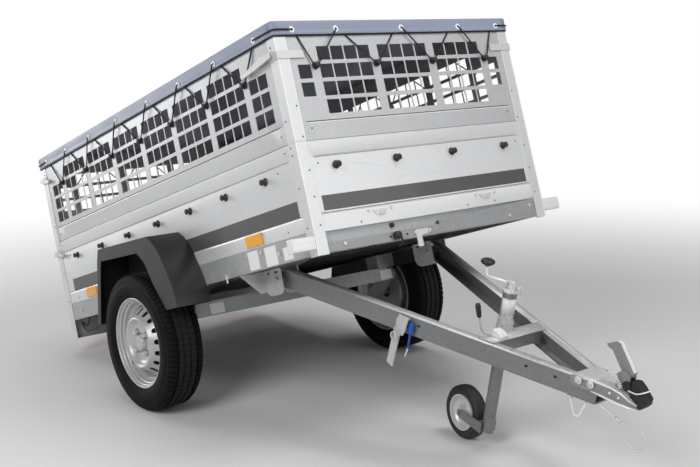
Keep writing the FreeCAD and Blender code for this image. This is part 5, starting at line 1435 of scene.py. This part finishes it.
class TRAILER_OT_fasteners(bpy.types.Operator):
    """Set the rivets, the bolts and dark discs of painted shade in the beam's holes"""

    bl_idname = "trailer.fasteners"
    bl_label = "Fasteners"

    def execute(self, context):
        def both_ends(places):
            """Places (y, z) near the front and as far from the rear."""
            return [(at, z) for y, z in places for at in (y, BODY_LENGTH - y)]

        rivets = on_sides(BODY_HALF, both_ends([(0.031, z) for z in (0.450, 0.700, 0.335, 0.360, 0.091, 0.224)]))
        rivets += on_sides(WALL_X, both_ends([(0.074, 0.408), (0.074, 0.352), (0.139, 0.298), (0.146, 0.0965)]))
        posts = ((0.505, 0.7455), (0.500, 0.494), (0.500, 0.390), (0.503, 0.277), (0.505, 0.1885), (0.504, 0.0934))
        for sign in (-1, 1):
            rivets += on_end(0.0, AHEAD, [(sign * (x + 0.014), z) for x, z in posts])
            rivets += on_end(BODY_LENGTH, BACK, [(sign * (x + 0.028), z) for x, z in posts])
            rivets += on_end(SHEET, AHEAD, [(sign * 0.469, 0.4157), (sign * 0.4746, 0.2975)])
        rivets += on_end(SHEET, AHEAD, [(x, 0.083) for x in (-0.3455, 0.157, 0.298)])
        dome = stud_tree("Dome Rivets", ((0.0, 1.0), (1.0, 0.05), (0.35, 0.95), (0.7, 0.72), (0.9, 0.4)), 12)
        grow("wall_rivets", dome, points_at(rivets), "rivet", "box", "zinc", 50.0,
             Length=0.0022, Radius=context.scene.trailer_sizes.rivet * 0.85)
        bolts = on_end(SHEET, AHEAD, ((-0.434, 0.0205), (-0.120, 0.0165), (-0.055, 0.0165), (0.356, 0.020),
                                      (0.472, 0.046)))
        bolts += on_sides(WALL_X, ((0.590, 0.010), (0.332, 0.057), (0.222, 0.036), (0.945, 0.030), (1.003, 0.030),
                                   (1.900, 0.040)))
        hexes = stud_tree("Hex Bolts", ((0.0, 1.25), (1.0, 0.9), (0.18, 1.25), (0.2, 1.0), (0.85, 1.0)), 6)
        grow("frame_bolts", hexes, points_at(bolts), "bright", "box", "zinc", 30.0, Length=0.0055, Radius=0.0072)
        # Dark discs paint the shade inside the beam's holes
        holes = on_end(SHEET - 0.0001, AHEAD, [(x, 0.0165) for x in (-0.2342, -0.158, -0.088)])
        grow("beam_hole_shades", stud_tree("Hole Shade Discs", FLAT_DISC, 14), points_at(holes), "hole", "box", None, 30.0,
             Length=0.0003, Radius=0.0042)
        return {"FINISHED"}


class TRAILER_OT_leads(bpy.types.Operator):
    """Clip the wiring under the front beam and at the rear"""

    bl_idname = "trailer.leads"
    bl_label = "Leads"

    def execute(self, context):
        plug_lead = ((-0.210, -0.016, 0.017), (-0.205, -0.021, 0.006), (-0.196, -0.012, -0.010),
                     (-0.196, 0.014, -0.020), (-0.184, 0.030, -0.016), (-0.120, 0.032, -0.010),
                     (-0.060, 0.034, -0.012))
        beam_lead = ((-0.500, 0.030, -0.006), (-0.420, 0.024, -0.012), (-0.340, 0.030, -0.007),
                     (-0.286, 0.026, -0.001))
        rear_lead = ((-0.520, 1.992, -0.012), (-0.522, 1.975, -0.046), (-0.520, 1.940, -0.066),
                     (-0.515, 1.860, -0.058), (-0.510, 1.770, -0.040), (-0.500, 1.710, -0.006))
        lamp_lead = ((-0.512, 1.992, -0.020), (-0.514, 1.960, -0.040), (-0.516, 1.925, -0.030),
                     (-0.520, 1.900, -0.004))
        grow("box_leads", strand_tree(), curves_along([plug_lead, beam_lead, rear_lead, lamp_lead], "NURBS"),
             "rubber", "box", "rubber", 60.0, Radius=0.0034)
        tab = ((-0.118, -0.034), (-0.094, -0.034), (-0.094, 0.004), (-0.060, 0.008), (-0.060, 0.026), (-0.118, 0.026))
        plate("lead_bracket", [(x, SHEET, z) for x, z in tab], AHEAD, 0.002, "bright", "box")
        clip = ((0.583, 0.006), (0.583, 0.001), (0.588, 0.0), (0.589, -0.016), (0.594, -0.016), (0.595, 0.0),
                (0.600, 0.001), (0.600, 0.006))
        for side, sign, out in SIDES:
            plate("drain_clip_" + side, [(sign * (WALL_X - 0.001), y, z) for y, z in clip], out, 0.003,
                  "label", "box")
        return {"FINISHED"}


class TRAILER_OT_stage(bpy.types.Operator):
    """Set the floor, the lights and the camera"""

    bl_idname = "trailer.stage"
    bl_label = "Stage"

    def floor_finish(self):
        """Pale floor that keeps its shadows and fades to white far from the middle."""
        material = bpy.data.materials.new("studio_floor")
        material.use_nodes = True
        tree = material.node_tree
        skin = tree.nodes["Principled BSDF"]
        skin.inputs["Base Color"].default_value = (0.82, 0.82, 0.82, 1)
        skin.inputs["Roughness"].default_value = 0.9
        place = put(tree, "ShaderNodeTexCoord").outputs["Object"]
        reach = put(tree, "ShaderNodeVectorMath", {0: place}, operation="LENGTH")
        far = put(tree, "ShaderNodeMapRange", {"From Min": 1.6, "From Max": 6.0, "Value": reach.outputs["Value"]},
                  interpolation_type="SMOOTHSTEP")
        white = put(tree, "ShaderNodeEmission", {"Strength": 1.0})
        seen = put(tree, "ShaderNodeLightPath").outputs["Is Camera Ray"]
        mix = put(tree, "ShaderNodeMixShader", {0: calc(tree, "MULTIPLY", far.outputs[0], seen), 1: skin.outputs[0],
                                                2: white.outputs[0]})
        tree.links.new(mix.outputs[0], tree.nodes["Material Output"].inputs[0])
        return material

    def sky(self):
        """White behind the object, soft and plain as a light."""
        world = bpy.data.worlds.new("studio_world")
        world.use_nodes = True
        tree = world.node_tree
        back = tree.nodes["Background"]
        back.inputs[0].default_value = (1, 1, 1, 1)
        seen = put(tree, "ShaderNodeLightPath").outputs
        shown = calc(tree, "MAXIMUM", seen["Is Camera Ray"], seen["Is Transmission Ray"])
        tree.links.new(calc(tree, "MULTIPLY_ADD", shown, 0.84, 0.16), back.inputs[1])
        return world

    def execute(self, context):
        scene = context.scene
        shape = bmesh.new()
        bmesh.ops.create_grid(shape, x_segments=1, y_segments=1, size=30.0)
        mesh = bpy.data.meshes.new("studio_floor")
        shape.to_mesh(mesh)
        shape.free()
        floor = bpy.data.objects.new("studio_floor", mesh)
        scene.collection.objects.link(floor)
        mesh.materials.append(self.floor_finish())
        scene.world = self.sky()
        aim = Vector((0, 0, 0.6))
        for name, place, size, power in (("key", (-5.0, -2.3, 3.9), 2.6, 178), ("fill", (2.6, -5.4, 2.6), 3.0, 58),
                                         ("top", (0.2, 1.6, 5.4), 3.5, 80), ("bar", (0.5, -1.7, 3.2), 1.0, 26),
                                         ("rear", (-2.5, 5.7, 1.3), 1.5, 70)):
            data = bpy.data.lights.new("studio_" + name, "AREA")
            data.size = size
            data.energy = power
            lamp = bpy.data.objects.new("studio_" + name, data)
            lamp.location = place
            lamp.rotation_euler = (aim - Vector(place)).to_track_quat("-Z", "Y").to_euler()
            scene.collection.objects.link(lamp)
        data = bpy.data.cameras.new("photo_view")
        data.sensor_width = 36.0
        data.lens = 56.30
        camera = bpy.data.objects.new("photo_view", data)
        right = (0.77815, -0.59348, -0.20558)
        up = (0.12881, -0.16956, 0.97707)
        back = (-0.61473, -0.78678, -0.05549)
        turn = Matrix((right, up, back)).transposed().to_4x4()
        camera.matrix_world = BOX @ Matrix.Translation((-2.64432, -2.86471, -0.15207)) @ turn
        scene.collection.objects.link(camera)
        scene.camera = camera
        scene.view_settings.view_transform = "Standard"
        return {"FINISHED"}


class TRAILER_PT_panel(bpy.types.Panel):
    """Buttons that make the trailer's pieces"""

    bl_idname = "TRAILER_PT_panel"
    bl_label = "Trailer"
    bl_space_type = "VIEW_3D"
    bl_region_type = "UI"
    bl_category = "Trailer"

    def draw(self, context):
        for group in (context.scene.trailer_sizes, context.scene.trailer_colours):
            for name in group.__annotations__:
                self.layout.prop(group, name)
        for operator in PIECES:
            self.layout.operator(operator.bl_idname)


PIECES = (
    TRAILER_OT_stage, TRAILER_OT_cable, TRAILER_OT_walls, TRAILER_OT_windows, TRAILER_OT_beads, TRAILER_OT_chassis,
    TRAILER_OT_tarp, TRAILER_OT_eyelets, TRAILER_OT_lacing, TRAILER_OT_hooks, TRAILER_OT_wheels,
    TRAILER_OT_fenders, TRAILER_OT_bands, TRAILER_OT_lamps, TRAILER_OT_coupling, TRAILER_OT_jockey,
    TRAILER_OT_fasteners, TRAILER_OT_leads)
CLASSES = (TrailerSizes, TrailerColours, *PIECES, TRAILER_PT_panel)


def register():
    for cls in CLASSES:
        bpy.utils.register_class(cls)
    bpy.types.Scene.trailer_sizes = bpy.props.PointerProperty(type=TrailerSizes)
    bpy.types.Scene.trailer_colours = bpy.props.PointerProperty(type=TrailerColours)


def unregister():
    del bpy.types.Scene.trailer_colours
    del bpy.types.Scene.trailer_sizes
    for cls in reversed(CLASSES):
        bpy.utils.unregister_class(cls)


def main():
    register()
    make_finishes(bpy.context.scene.trailer_colours)
    for operator in PIECES:
        group, name = operator.bl_idname.split(".")
        getattr(getattr(bpy.ops, group), name)()


if __name__ == "__main__":
    main()
